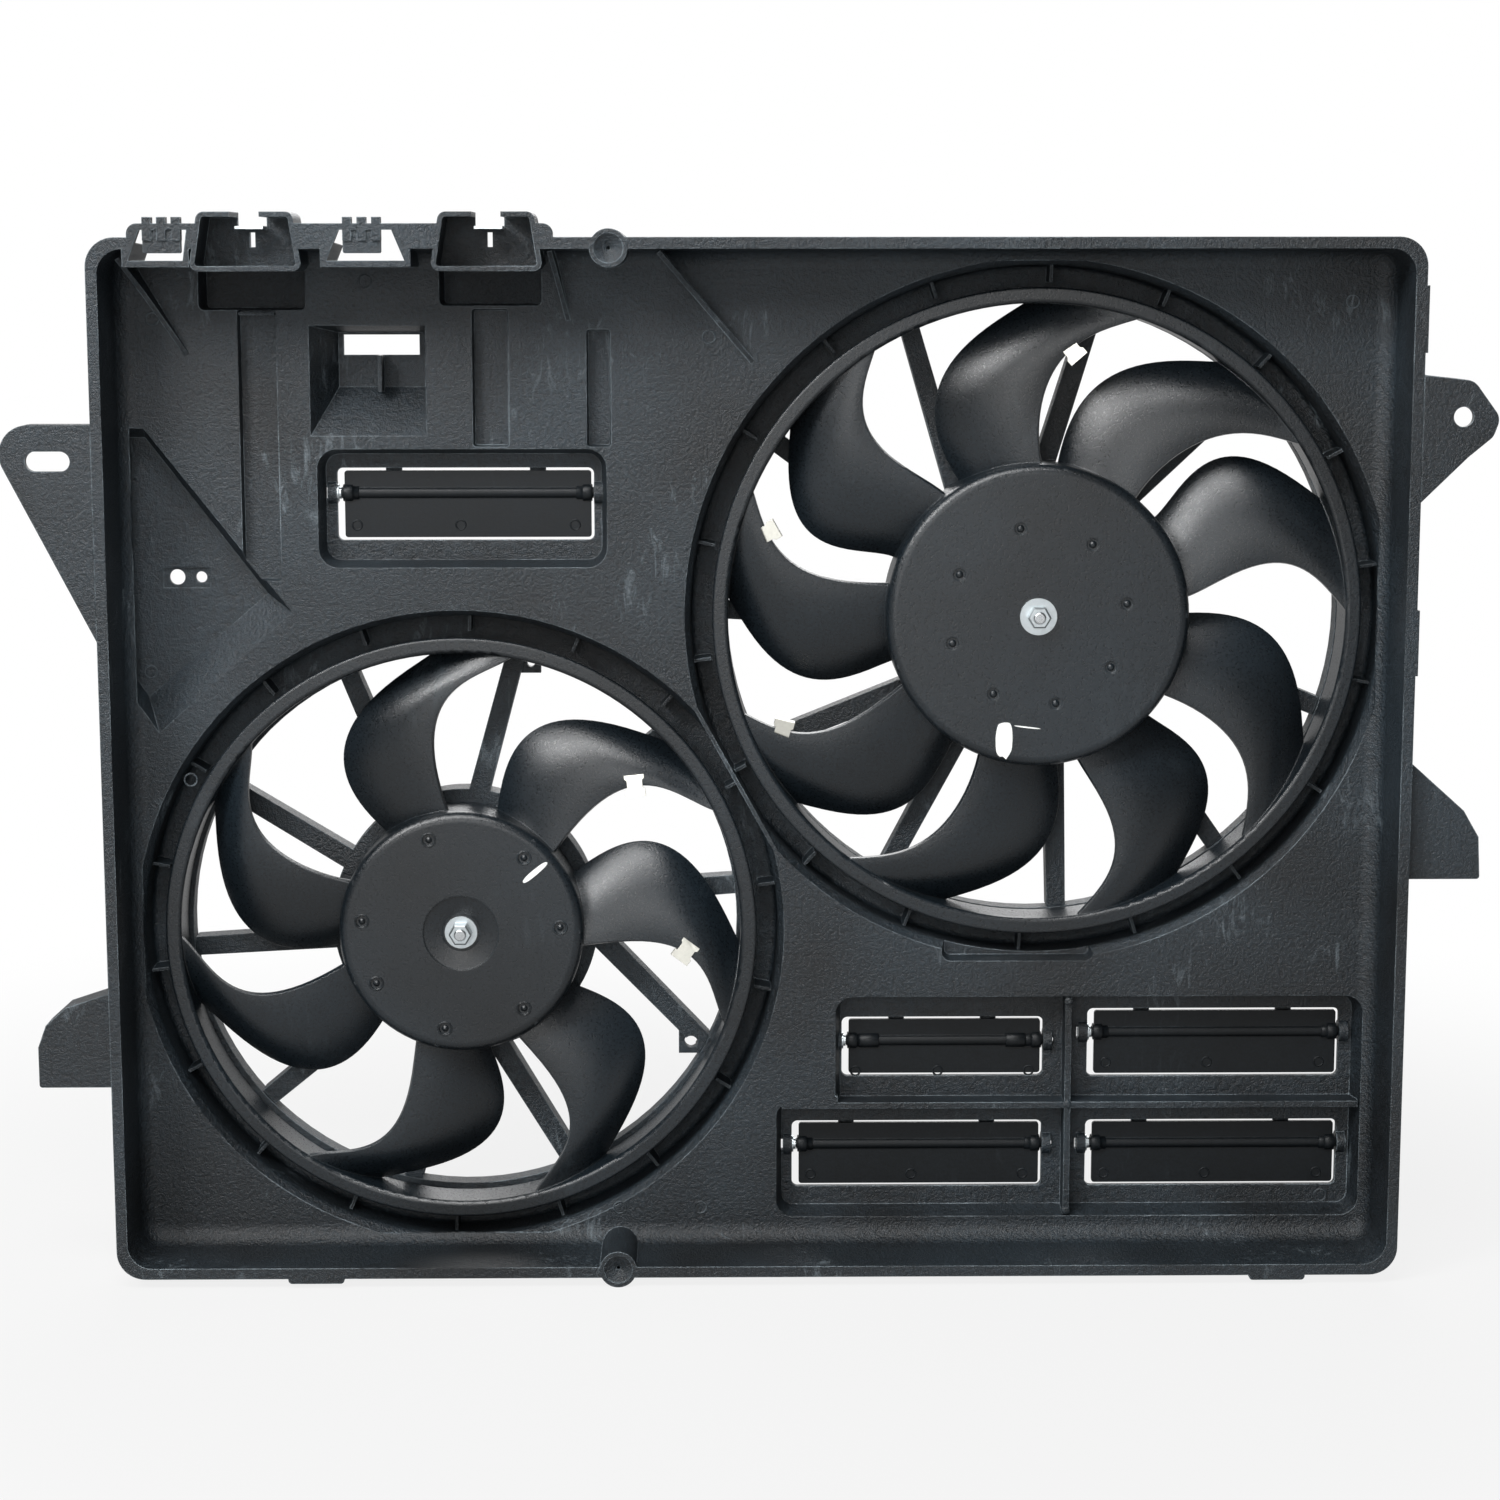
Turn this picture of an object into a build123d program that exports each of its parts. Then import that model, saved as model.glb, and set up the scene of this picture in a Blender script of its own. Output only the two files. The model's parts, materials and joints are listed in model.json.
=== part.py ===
from build123d import *
import os
from collections import namedtuple
from math import cos, hypot, pi, radians, sin, tan

# Twin radiator cooling fan of a car: a moulded shroud tray with two ring fans on electric
# motors and five ram-air flaps. +X is to the right as seen from the radiator, +Z is up and
# +Y runs through the fans towards the engine. Lengths are in millimetres. A depth is
# measured from the flange face, which seals against the radiator, towards the engine.

# Tray
OVERALL_DEPTH = 112.0
TRAY_LEFT = -310.5
TRAY_RIGHT = 317.5
TRAY_BOTTOM = -254.5
TRAY_TOP = 247.5
TRAY_DEPTH = 42.0
TRAY_CORNER = 14.0
TRAY_DRAFT = 1.5
WALL = 3.0
FLOOR_FILLET = 9.0
FLANGE_WIDTH = 5.5
FLANGE_THICKNESS = 4.0
TOP_RAISE = 6.5
RAISE_LEFT = -296.0
RAISE_RIGHT = -94.0
FOOT_CENTRES = (-217.0, 263.0)
FOOT_WIDTH = 28.0
FOOT_DROP = 2.5
JOG_CENTRES = (214.0, 58.0)
JOG_HEIGHT = 32.0
JOG_REACH = 1.2
OVERCUT = 1.0

# Barrels round the fans
LIP_FLARE = 3.0
RING_GAP = 10.9
BARREL_PLATE_DEPTH = 69.0
BARREL_ROUND = 6.0
REAR_LIP_DEPTH = 80.0
REAR_LIP_WALL = 3.0
LEFT_REAR_RADIUS = 139.0
RIGHT_REAR_RADIUS = 154.0
CHANNEL_WALL = 2.0
CHANNEL_RIBS = 18
CHANNEL_RIB_WIDTH = 1.6
FIN_GAP = 2.3
FIN_FRONT = 54.0

# Fans
LEFT_FAN_X = -145.6
LEFT_FAN_Z = -92.2
LEFT_RING_RADIUS = 148.8
LEFT_HUB_RADIUS = 61.5
LEFT_HUB_FACE = 38.0
RIGHT_FAN_X = 142.9
RIGHT_FAN_Z = 67.5
RIGHT_RING_RADIUS = 161.6
RIGHT_HUB_RADIUS = 75.5
RIGHT_HUB_FACE = 36.5
HUB_REAR = 68.0
HUB_WALL = 2.8
HUB_ROUND = 5.0
HUB_FACE_THICKNESS = 3.2
HUB_PAD_RADIUS = 21.0
HUB_PAD_THICKNESS = 4.0
HUB_BOSS_RADIUS = 10.0
HUB_RIB_WIDTH = 2.0
HUB_DISH_RADIUS = 19.0
HUB_SEAT_RADIUS = 9.5
LEFT_DIMPLE_CIRCLE = 50.0
LEFT_DIMPLES = (3.0, 50.0, 108.0, 173.0, 211.0, 260.0, 308.8)
RIGHT_DIMPLE_CIRCLE = 44.5
RIGHT_DIMPLES = (8.0, 53.3, 102.0, 152.0, 197.5, 240.5, 282.0, 325.0)
DIMPLE_RADIUS = 3.0
DIMPLE_DEPTH = 1.0
RING_FRONT = 42.0
RING_REAR = 65.0
RING_WALL = 2.4
RING_LIP = 5.4
RING_LIP_THICKNESS = 2.6

# Blades: angle of each root's leading edge, how far the tip leads it and how far the middle bows
LEFT_BLADE_ROOTS = (39.9, 95.6, 155.5, 195.9, 247.1, 296.4, 352.0)
LEFT_BLADE_SWEEPS = (15.4, 17.7, 19.6, 16.0, 12.6, 12.9, 13.3)
LEFT_BLADE_BOWS = (5.2, 4.5, 3.7, 5.4, 6.3, 5.9, 6.1)
RIGHT_BLADE_ROOTS = (6.5, 49.9, 88.7, 127.4, 168.0, 207.8, 248.2, 286.3, 327.6)
RIGHT_BLADE_SWEEPS = (8.2, 19.3, 20.0, 7.8, 14.0, 11.4, 17.9, 10.3, 17.2)
RIGHT_BLADE_BOWS = (7.4, 0.5, 2.5, 7.1, 3.6, 3.5, 1.6, 5.8, 2.9)
# Angle that a blade spans at its root, at its tip and evenly between them
LEFT_BLADE_SPANS = (32.9, 31.9, 28.2, 20.7, 14.8)
RIGHT_BLADE_SPANS = (31.1, 30.1, 27.8, 23.4, 20.5)
BLADE_FRONT = 44.5
BLADE_REAR = 62.0
BLADE_ROOT_DROP = 2.0
BLADE_THICKNESS = 2.6
BLADE_CAMBER = 0.09

# Spring clips that balance the fans: blade, and fraction of the way along it
LEFT_CLIPS = ((0, 0.638), (6, 0.623))
RIGHT_CLIPS = ((2, 0.675), (4, 0.782), (5, 0.774))
CLIP_REACH = 9.5
CLIP_FOLD = 1.4
CLIP_LENGTH = 10.0
CLIP_WAIST = 1.1
CLIP_SHEET = 0.7
CLIP_PITCH = 6.0

# Motors
LEFT_CAN_RADIUS = 44.0
RIGHT_CAN_RADIUS = 49.0
CAN_WALL = 2.0
CAN_FRONT = 54.0
CAN_REAR = 100.0
CAP_THICKNESS = 3.0
SOCKET_WIDTH = 22.0
SOCKET_LENGTH = 28.0
SOCKET_BACK = 8.0
SOCKET_WALL = 2.0
SOCKET_HEIGHT = 7.0
SOCKET_BLOCK_DEPTH = 11.0
TERMINAL_WIDTH = 6.3
TERMINAL_THICKNESS = 0.8
TERMINAL_SPACING = 9.0
EAR_REACH = 13.5
EAR_THICKNESS = 2.5
SCREW_CIRCLE = 8.5
SCREW_HEAD_RADIUS = 4.3
SCREW_HEAD_HEIGHT = 3.5
SCREW_RADIUS = 2.5
SCREW_LENGTH = 12.0
SCREW_ANGLES = (13.0, 133.0, 253.0)
SCREW_BOSS_RADIUS = 5.0
SHAFT_RADIUS = 4.0
STUD_RADIUS = 3.0
STUD_PROUD = 1.0
SHAFT_ROUND = 0.8
SHAFT_HOLE_RADIUS = 6.0
SHAFT_SHOULDER = 48.0
BEARING_RADIUS = 11.0
BEARING_WIDTH = 7.0
BEARING_FRONT = 52.0
BEARING_INNER_RACE = 6.2
BEARING_OUTER_RACE = 9.2
BEARING_SEAL_INSET = 0.5
BEARING_BOSS_WALL = 2.0
MAGNETS = 4
MAGNET_THICKNESS = 6.5
MAGNET_SPACING = 16.0
AIR_GAP = 0.8
CORE_FRONT = 60.0
CORE_REAR = 86.0
CORE_SLOTS = 12
SLOT_DEPTH = 14.0
SLOT_WIDTH = 3.4
SLOT_MOUTH = 1.6
WINDING_OVERHANG = 3.0
WINDING_INNER = 15.0
WINDING_INSET = 2.0
COMMUTATOR_RADIUS = 12.0
COMMUTATOR_FRONT = 88.5
COMMUTATOR_LENGTH = 8.5
BRUSH_SIZE = 6.0
BRUSH_LENGTH = 11.0
BRUSH_GAP = 0.4
CARD_FRONT = 96.5
CARD_THICKNESS = 2.0
NUT_ACROSS_FLATS = 10.0
NUT_HEIGHT = 6.5
WASHER_RADIUS = 9.2
WASHER_THICKNESS = 1.5
NUT_FLANGE_RADIUS = 8.2
NUT_CHAMFER = 0.7
LEFT_NUT_SEAT = 41.0
RIGHT_NUT_SEAT = RIGHT_HUB_FACE

# Motor carriers and arms
CARRIER_FRONT = 72.0
CARRIER_REAR = 88.0
CARRIER_WALL = 2.5
CARRIER_RIBS = 18
CARRIER_RIB_WIDTH = 2.0
LEFT_CARRIER_RADIUS = 68.0
RIGHT_CARRIER_RADIUS = 72.0
ARM_FRONT = 72.0
ARM_REAR = 84.0
ARM_OUTER_WIDTH = 9.5
ARM_INNER_WIDTH = 10.5
# Angle at the rear lip and angle at the carrier, for each arm
LEFT_ARMS = (
    (7.4, 11.0), (43.3, 47.0), (78.8, 83.4), (114.3, 116.7), (150.0, 151.8),
    (185.6, 188.0), (222.2, 225.3), (258.0, 261.5), (292.7, 283.5), (331.6, 353.5),
)
RIGHT_ARMS = (
    (13.0, 16.5), (46.0, 49.5), (78.9, 86.1), (113.9, 122.7), (146.9, 150.5), (180.0, 183.5),
    (206.8, 213.0), (241.5, 241.0), (275.4, 280.0), (308.4, 312.0), (341.0, 344.5),
)

# Ram-air flaps: window centre and size
RECESS_DEPTH = 13.0
FLAP_WINDOWS = {
    "flap_top": (-141.2, 122.4, 127.6, 36.0),
    "flap_upper_inner": (98.4, -155.6, 103.0, 31.0),
    "flap_upper_outer": (237.0, -153.8, 128.8, 35.6),
    "flap_lower_inner": (85.6, -212.0, 128.4, 34.8),
    "flap_lower_outer": (237.0, -212.0, 129.2, 34.8),
}
WINDOW_CORNER = 3.0
FLAP_THICKNESS = 2.2
FLAP_GAP = 1.4
FLAP_LEFT_GAP = 3.6
FLAP_RIB = 1.6
FLAP_RIB_SHARES = (0.25, 0.5, 0.75)
FLAP_CORNER = 1.5
PIN_INSET = 0.5
FLAP_TOP_LEAF = 12.5
FLAP_PIN_RADIUS = 1.9
FLAP_BARREL_RADIUS = 2.8
EYE_WALL = 2.6
EYE_LENGTH = 4.5
BUSH_WALL = 1.1
BUSH_PROUD = 2.0
BUSH_COLLAR = 0.8
BUSH_COLLAR_RADIUS = 4.4
AXIAL_PLAY = 0.3
STOP_INSET = 28.0
STOP_WIDTH = 8.0
STOP_THICKNESS = 2.0
STOP_REACH = 5.0
CELL_RIB = 3.2
PIT_DRAFT = 12.0
CHANNEL_DRAFT = 6.0
POCKET_DRAFT = 2.0

# Mounting ears, tabs and pockets
EAR_PLATE = 3.5
EAR_DEPTH = 13.0
EAR_RIM_WALL = 2.5
SLOT_LENGTH = 21.5
BOLT_HOLE_RADIUS = 4.8
LEFT_EAR_RADIUS = 14.2
LEFT_SLOT_X = -336.9
LEFT_SLOT_Z = 147.0
RIGHT_HOLE_X = 342.4
RIGHT_HOLE_Z = 167.5
TAB_FRONT = 8.0
TAB_DEPTH = 18.0
LEFT_TAB_FOOT = -163.4
RIGHT_TAB_FOOT = -60.0
BOSS_RADIUS = 9.2
BOSS_DISH_RADIUS = 7.0
BOSS_DISH_DEPTH = 3.5
BOSS_DISH_RIM = 0.6
BOSS_PILOT_RADIUS = 0.9
BOSS_PILOT_DEPTH = 10.0
TOP_BOSS = (-67.7, TRAY_TOP + 0.4)
BOTTOM_BOSS = (-66.5, TRAY_BOTTOM - 1.3)
POCKET_CENTRES = (-240.0, -125.6)
POCKET_TOP = TRAY_TOP + 17.5
POCKET_BOTTOM = TRAY_TOP - 10.5
POCKET_BOTTOM_WIDTH = 54.0
POCKET_TOP_WIDTH = 45.0
POCKET_CORNER = 4.0
POCKET_DEPTH = 30.0
POCKET_WALL = 2.4
NOTCH_WIDTH = 14.0
NOTCH_DEPTH = 8.0
SLIT_WIDTH = 2.6
SLIT_LENGTH = 7.0
NUT_SHEET = 1.4
CLIP_NUT_FRONT = 15.0
CLIP_NUT_DROP = 12.5
CLIP_NUT_PLAY = 0.2
CLIP_NUT_THREAD_RADIUS = 3.2
CLIP_NUT_THREAD_INSET = 6.0

# Running clearances, radial
BEARING_CLEARANCE = 0.04
PIN_CLEARANCE = 0.06
SEAT_CLEARANCE = 0.05
SEAT_GAP = 1.2

FLANGE_Y = -OVERALL_DEPTH / 2
FLOOR_BACK = TRAY_DEPTH + WALL

Fan = namedtuple("Fan", (
    "name", "x", "z", "ring", "hub", "face", "seat", "rear", "roots", "sweeps", "bows", "spans",
    "can", "carrier", "arms", "dimple_circle", "dimples", "clips",
))
LEFT_FAN = Fan(
    "left", LEFT_FAN_X, LEFT_FAN_Z, LEFT_RING_RADIUS, LEFT_HUB_RADIUS, LEFT_HUB_FACE,
    LEFT_NUT_SEAT, LEFT_REAR_RADIUS, LEFT_BLADE_ROOTS, LEFT_BLADE_SWEEPS, LEFT_BLADE_BOWS,
    LEFT_BLADE_SPANS, LEFT_CAN_RADIUS, LEFT_CARRIER_RADIUS, LEFT_ARMS,
    LEFT_DIMPLE_CIRCLE, LEFT_DIMPLES, LEFT_CLIPS,
)
RIGHT_FAN = Fan(
    "right", RIGHT_FAN_X, RIGHT_FAN_Z, RIGHT_RING_RADIUS, RIGHT_HUB_RADIUS, RIGHT_HUB_FACE,
    RIGHT_NUT_SEAT, RIGHT_REAR_RADIUS, RIGHT_BLADE_ROOTS, RIGHT_BLADE_SWEEPS, RIGHT_BLADE_BOWS,
    RIGHT_BLADE_SPANS, RIGHT_CAN_RADIUS, RIGHT_CARRIER_RADIUS, RIGHT_ARMS,
    RIGHT_DIMPLE_CIRCLE, RIGHT_DIMPLES, RIGHT_CLIPS,
)
FANS = (LEFT_FAN, RIGHT_FAN)


def layer(depth):
    """Drawing plane at a depth, seen from the radiator: local x is +X and local y is +Z."""
    return Plane.XZ.offset(-(FLANGE_Y + depth))


def centre_of(fan):
    """Where a fan's axis crosses a layer."""
    return fan.x, fan.z


def section(centre):
    """Plane through an axis along Y: local x is the radius and local y the depth."""
    return Plane((centre[0], FLANGE_Y, centre[1]))


def band_radius(fan):
    """Radius of the channel round a fan's ring."""
    return fan.ring + RING_GAP


def panel(left, bottom, right, top, corner=0.0, mode=Mode.ADD):
    """Rectangle by its edges, with rounded corners where a radius is given."""
    with Locations(((left + right) / 2, (bottom + top) / 2)):
        if corner:
            RectangleRounded(right - left, top - bottom, corner, mode=mode)
        else:
            Rectangle(right - left, top - bottom, mode=mode)


def slabs(front, back, outlines, corner=0.0, mode=Mode.ADD):
    """Adds or cuts plain blocks between two depths, each given by its edges."""
    with BuildSketch(layer(back)) as outline:
        for edges in outlines:
            panel(*edges, corner)
    extrude(outline.sketch, amount=back - front, mode=mode)


def slab(front, back, edges, corner=0.0, mode=Mode.ADD):
    """Adds or cuts one plain block between two depths."""
    slabs(front, back, [edges], corner, mode)


def round_corners(sketch, points, rounded):
    """Fillets a sketch's corners: one radius for all, or pairs of point number and radius."""
    if isinstance(rounded, (int, float)):
        rounded = [(number, rounded) for number in range(len(points))]
    for number, radius in rounded:
        fillet(sketch.vertices().sort_by_distance(points[number])[0], radius)


def turned(centre, outline, mode=Mode.ADD, rounded=()):
    """Turns an outline of (radius, depth) points about the Y axis through a centre.
    Each item of rounded is a point's number and its fillet radius."""
    with BuildSketch(section(centre)) as profile:
        with BuildLine():
            Polyline(*outline, close=True)
        make_face()
        round_corners(profile, outline, rounded)
    revolve(profile.sketch, axis=Axis((centre[0], 0, centre[1]), (0, 1, 0)), mode=mode)


def grown(edges, by):
    """Edges moved outwards, or inwards where the amount is negative."""
    left, bottom, right, top = edges
    return (left - by, bottom - by, right + by, top + by)


def moved(x, z, points):
    """Points given from a place, as a tuple of corners."""
    return tuple((x + point[0], z + point[1]) for point in points)


def shape(front, back, points, rounded=(), shrink=0.0, mode=Mode.ADD):
    """Adds or cuts a block between two depths with an outline given by its corners."""
    with BuildSketch(layer(back)) as outline:
        with BuildLine():
            Polyline(*points, close=True)
        make_face()
        round_corners(outline, points, rounded)
        if shrink:
            offset(amount=-shrink, kind=Kind.INTERSECTION, mode=Mode.REPLACE)
    extrude(outline.sketch, amount=back - front, mode=mode)


def tapered_pit(depth, edges, corner, draft=PIT_DRAFT):
    """Sunken panel of the floor with drafted sides, given by its edges at its bottom."""
    with BuildSketch(layer(depth)) as outline:
        panel(*edges, corner)
    extrude(outline.sketch, amount=depth - TRAY_DEPTH + OVERCUT, taper=-draft)


def ribbed_plate(front, depth, points, rounded):
    """Plate with a rim towards the engine, as the ears and tabs have."""
    shape(front, front + depth, points, rounded)
    shape(front + EAR_PLATE, front + depth + OVERCUT, points, rounded, EAR_RIM_WALL,
          Mode.SUBTRACT)


def pocket_outline(x):
    """Corners of the trapezoid that a pocket has around its middle."""
    return (
        (x - POCKET_BOTTOM_WIDTH / 2, POCKET_BOTTOM), (x + POCKET_BOTTOM_WIDTH / 2, POCKET_BOTTOM),
        (x + POCKET_TOP_WIDTH / 2, POCKET_TOP), (x - POCKET_TOP_WIDTH / 2, POCKET_TOP),
    )


def on_circle(centre, radius, angle):
    """Point at an angle, anticlockwise from +X as seen from the radiator."""
    return centre[0] + radius * cos(radians(angle)), centre[1] + radius * sin(radians(angle))


def export(piece, label):
    """Names a finished piece and writes it."""
    piece.part.label = label
    export_step(piece.part, "parts/" + label + ".step")


os.makedirs("parts", exist_ok=True)

# Places that several pieces share
DRAFT_INSET = TRAY_DEPTH * tan(radians(TRAY_DRAFT))
FLOOR_EDGES = grown((TRAY_LEFT, TRAY_BOTTOM, TRAY_RIGHT, TRAY_TOP), -DRAFT_INSET)
WINDOW_FRONT = TRAY_DEPTH + RECESS_DEPTH
WINDOW_BACK = WINDOW_FRONT + WALL
HINGE_DEPTH = (WINDOW_FRONT + WINDOW_BACK) / 2
BUSH_RADIUS = FLAP_PIN_RADIUS + PIN_CLEARANCE + BUSH_WALL
EYE_RADIUS = BUSH_RADIUS + EYE_WALL
REAR_BEARING_FRONT = CAN_REAR + CAP_THICKNESS
SHAFT_END = REAR_BEARING_FRONT + BEARING_WIDTH - 1.0
SOCKET_MIDDLE = OVERALL_DEPTH - 6.0
LEFT_ROOT = TRAY_LEFT - 1.1
RIGHT_ROOT = TRAY_RIGHT + 1.1


def window_edges(window):
    """Edges of a window that is given by its centre and size."""
    x, z, width, height = window
    return x - width / 2, z - height / 2, x + width / 2, z + height / 2


WINDOWS = {name: window_edges(window) for name, window in FLAP_WINDOWS.items()}

# Cells that the flaps lie in
TOP_LEFT, TOP_BOTTOM, TOP_RIGHT, TOP_TOP = WINDOWS["flap_top"]
TOP_RECESS = (TOP_LEFT - 5.5, TOP_BOTTOM - 9.9, TOP_RIGHT + 3.9, TOP_TOP + 7.1)
TOP_RECESS_CORNER = 7.0
CELL_LEFT_UPPER = WINDOWS["flap_upper_inner"][0] - 0.9
CELL_LEFT_LOWER = WINDOWS["flap_lower_inner"][0] - 5.4
CELL_MIDDLE = (WINDOWS["flap_lower_inner"][2] + WINDOWS["flap_lower_outer"][0]) / 2 + 0.4
CELL_RIGHT = WINDOWS["flap_lower_outer"][2] + 6.4
CELL_TOP = WINDOWS["flap_upper_outer"][3] + 6.5
CELL_SPLIT = (WINDOWS["flap_upper_outer"][1] + WINDOWS["flap_lower_outer"][3]) / 2 - 0.3
CELL_BOTTOM = WINDOWS["flap_lower_outer"][1] - 9.6
CELL_CORNER = 6.0
CELL_WALL = 5.5
CELLS_OUTLINE = (
    (CELL_LEFT_LOWER, CELL_BOTTOM), (CELL_RIGHT, CELL_BOTTOM), (CELL_RIGHT, CELL_TOP),
    (CELL_LEFT_UPPER, CELL_TOP), (CELL_LEFT_UPPER, CELL_SPLIT), (CELL_LEFT_LOWER, CELL_SPLIT),
)

# Channels, pits, duct and step in the floor
CHANNEL_DEPTH = TRAY_DEPTH + 6.0
CHANNEL_TOP = TRAY_TOP - 29.5
CHANNELS = (
    (POCKET_CENTRES[0] - 10.0, 86.0, POCKET_CENTRES[0] + 7.5, CHANNEL_TOP),
    (POCKET_CENTRES[1] - 9.9, 152.0, POCKET_CENTRES[1] + 6.6, CHANNEL_TOP),
    (-79.5, 152.0, -69.0, CHANNEL_TOP - 10.0),
)
CHANNEL_STEP = (CHANNELS[0][0], CHANNEL_TOP - 2.2, CHANNELS[0][2], CHANNEL_TOP - 1.0)
PIT_DEPTH = TRAY_DEPTH + 22.0
PIT_TOP = TRAY_TOP - 7.5
PIT_CORNER = 2.0
PITS = (
    (POCKET_CENTRES[0] - 28.6, PIT_TOP - 21.0, POCKET_CENTRES[0] + 22.0, PIT_TOP),
    (POCKET_CENTRES[1] - 25.4, PIT_TOP - 19.0, POCKET_CENTRES[1] + 23.1, PIT_TOP),
)
DUCT_DEPTH = TRAY_DEPTH + 22.0
DUCT_MOUTH = (-216.5, 155.7, -158.8, 210.8)
DUCT_END = (DUCT_MOUTH[0] + 12.5, DUCT_MOUTH[1] + 24.3, DUCT_MOUTH[2] - 2.2, DUCT_MOUTH[3] - 3.8)
DUCT_SLOT = (DUCT_END[0] + 2.5, DUCT_END[3] - 11.2, DUCT_END[2] - 2.8, DUCT_END[3] - 1.2)
DUCT_MIDDLE = (DUCT_END[0] + DUCT_END[2]) / 2
DUCT_RIB = (DUCT_MIDDLE - 1.0, DUCT_END[1] - 2.0, DUCT_MIDDLE + 1.0, DUCT_SLOT[1])
DUCT_RIB_FRONT = TRAY_DEPTH + 10.0
STEP_DEPTH = TRAY_DEPTH + 8.0
STEP_EDGES = (RIGHT_FAN_X - 44.4, RIGHT_FAN_Z - 174.0, RIGHT_FAN_X + 29.1, RIGHT_FAN_Z - 147.5)
STEP_CORNER = 3.0
BACK_CORNER = 4.0

# Sunken triangle beside the left ear
TRIANGLE_DEPTH = TRAY_DEPTH + 13.0
TRIANGLE_FLOOR = moved(TRAY_LEFT, 69.0, (
    (-19.5, 86.8), (11.0, 86.6), (70.0, 8.9), (9.2, -43.2), (-19.5, 0.0),
))
TRIANGLE_MOUTH = moved(TRAY_LEFT, 69.0, (
    (-19.5, 92.0), (12.5, 92.0), (84.5, 0.0), (16.5, -61.0), (-19.5, -7.0),
))
TRIANGLE_PATCH = (TRAY_LEFT + 18.0, 80.7, TRAY_LEFT + 41.0, 90.7)
TRIANGLE_HOLES = ((TRAY_LEFT + 24.8, 86.0, 3.9), (TRAY_LEFT + 36.8, 86.0, 2.8))

# Ears and tabs outside the walls
LEFT_EAR = (
    (LEFT_ROOT, LEFT_SLOT_Z + 17.4), (LEFT_SLOT_X - 32.0, LEFT_SLOT_Z + 17.4),
    (LEFT_ROOT - 0.4, LEFT_SLOT_Z - 95.0), (LEFT_ROOT, LEFT_SLOT_Z - 95.0),
)
LEFT_EAR_ROUNDS = ((1, LEFT_EAR_RADIUS),)
RIGHT_EAR = (
    (RIGHT_ROOT, RIGHT_HOLE_Z + 20.5),
    *moved(RIGHT_HOLE_X, RIGHT_HOLE_Z, ((4.6, 17.3), (17.8, -0.5), (14.6, -9.5), (2.6, -19.5))),
    (RIGHT_ROOT, RIGHT_HOLE_Z - 45.5),
)
RIGHT_EAR_ROUNDS = ((1, 8.0), (2, 7.0), (3, 7.0), (4, 6.0))
LEFT_TAB = moved(LEFT_ROOT, LEFT_TAB_FOOT, (
    (0, 49.4), (-27.4, 40.4), (-37.4, 31.4), (-41.4, 20.4), (-41.4, 0), (0, 0),
))
RIGHT_TAB = moved(RIGHT_ROOT, RIGHT_TAB_FOOT, (
    (0, 63.0), (32.2, 34.2), (39.9, 21.0), (41.0, 0), (0, 0),
))
LEFT_TAB_ROUNDS = ((4, 1.5),)
RIGHT_TAB_ROUNDS = ((3, 1.5),)

# Snap hooks in the windows of the top wall
HOOK_WINDOW_BOTTOM = TRAY_TOP - 5.5
HOOK_WINDOW_TOP = TRAY_TOP + 9.0
HOOK_WINDOWS = (
    ((-295.5, HOOK_WINDOW_BOTTOM), (-269.5, HOOK_WINDOW_BOTTOM),
     (-267.5, HOOK_WINDOW_TOP), (-290.0, HOOK_WINDOW_TOP)),
    ((-201.5, HOOK_WINDOW_BOTTOM), (-164.5, HOOK_WINDOW_BOTTOM),
     (-170.5, HOOK_WINDOW_TOP), (-195.5, HOOK_WINDOW_TOP)),
)
HOOK_CENTRES = (-279.5, -184.7)
HOOK_WIDTH = 18.0
HOOK_BOTTOM = TRAY_TOP - 2.0
HOOK_TOP = TRAY_TOP + 10.0
HOOK_FRONT = 1.0
HOOK_THICKNESS = 4.0
HOOK_TIP = TRAY_TOP + 15.0
HOOK_WALL = TRAY_TOP - 8.5
PRONG_WIDTH = 4.2
PRONG_LENGTH = 11.0
PRONG_SPACING = (HOOK_WIDTH - PRONG_WIDTH) / 2

# Gussets, from a place on the wall to a place on the floor
GUSSETS = (
    (TRAY_LEFT + 8.6, TRAY_TOP - 6.2, TRAY_LEFT + 35.0, TRAY_TOP - 51.2),
    (-95.9, TRAY_TOP - 2.9, -88.9, TRAY_TOP - 34.4),
    (-42.8, TRAY_TOP - 3.0, 1.6, TRAY_TOP - 54.9),
)
GUSSET_THICKNESS = 2.4
GUSSET_FRONT = 12.0
GUSSET_SINK = 2.0

# Lugs on the left barrel's rear lip: angle, radius, size and hole radius
LUGS = ((330.5, 132.5, 12.7, 3.4), (75.3, 136.6, 10.0, 2.0))
LUG_THICKNESS = 5.0
LUG_PLACES = [
    on_circle(centre_of(LEFT_FAN), radius, angle) + (size, hole)
    for angle, radius, size, hole in LUGS
]


def across(x, edges):
    """Plane that faces +X at a flap's hinge line: local x is +Y and local y is +Z."""
    hinge = edges[3] - FLAP_TOP_LEAF
    return Plane(origin=(x, FLANGE_Y + HINGE_DEPTH, hinge), x_dir=(0, 1, 0), z_dir=(1, 0, 0))


def rod(plane, radius, length, mode=Mode.ADD):
    """Round bar from a plane along its normal."""
    with BuildSketch(plane) as end:
        Circle(radius)
    extrude(end.sketch, amount=length, mode=mode)


def discs(front, back, places, radius, mode=Mode.ADD):
    """Adds or cuts round columns between two depths."""
    with BuildSketch(layer(back)) as ends:
        with Locations(*places):
            Circle(radius)
    extrude(ends.sketch, amount=back - front, mode=mode)


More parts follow.
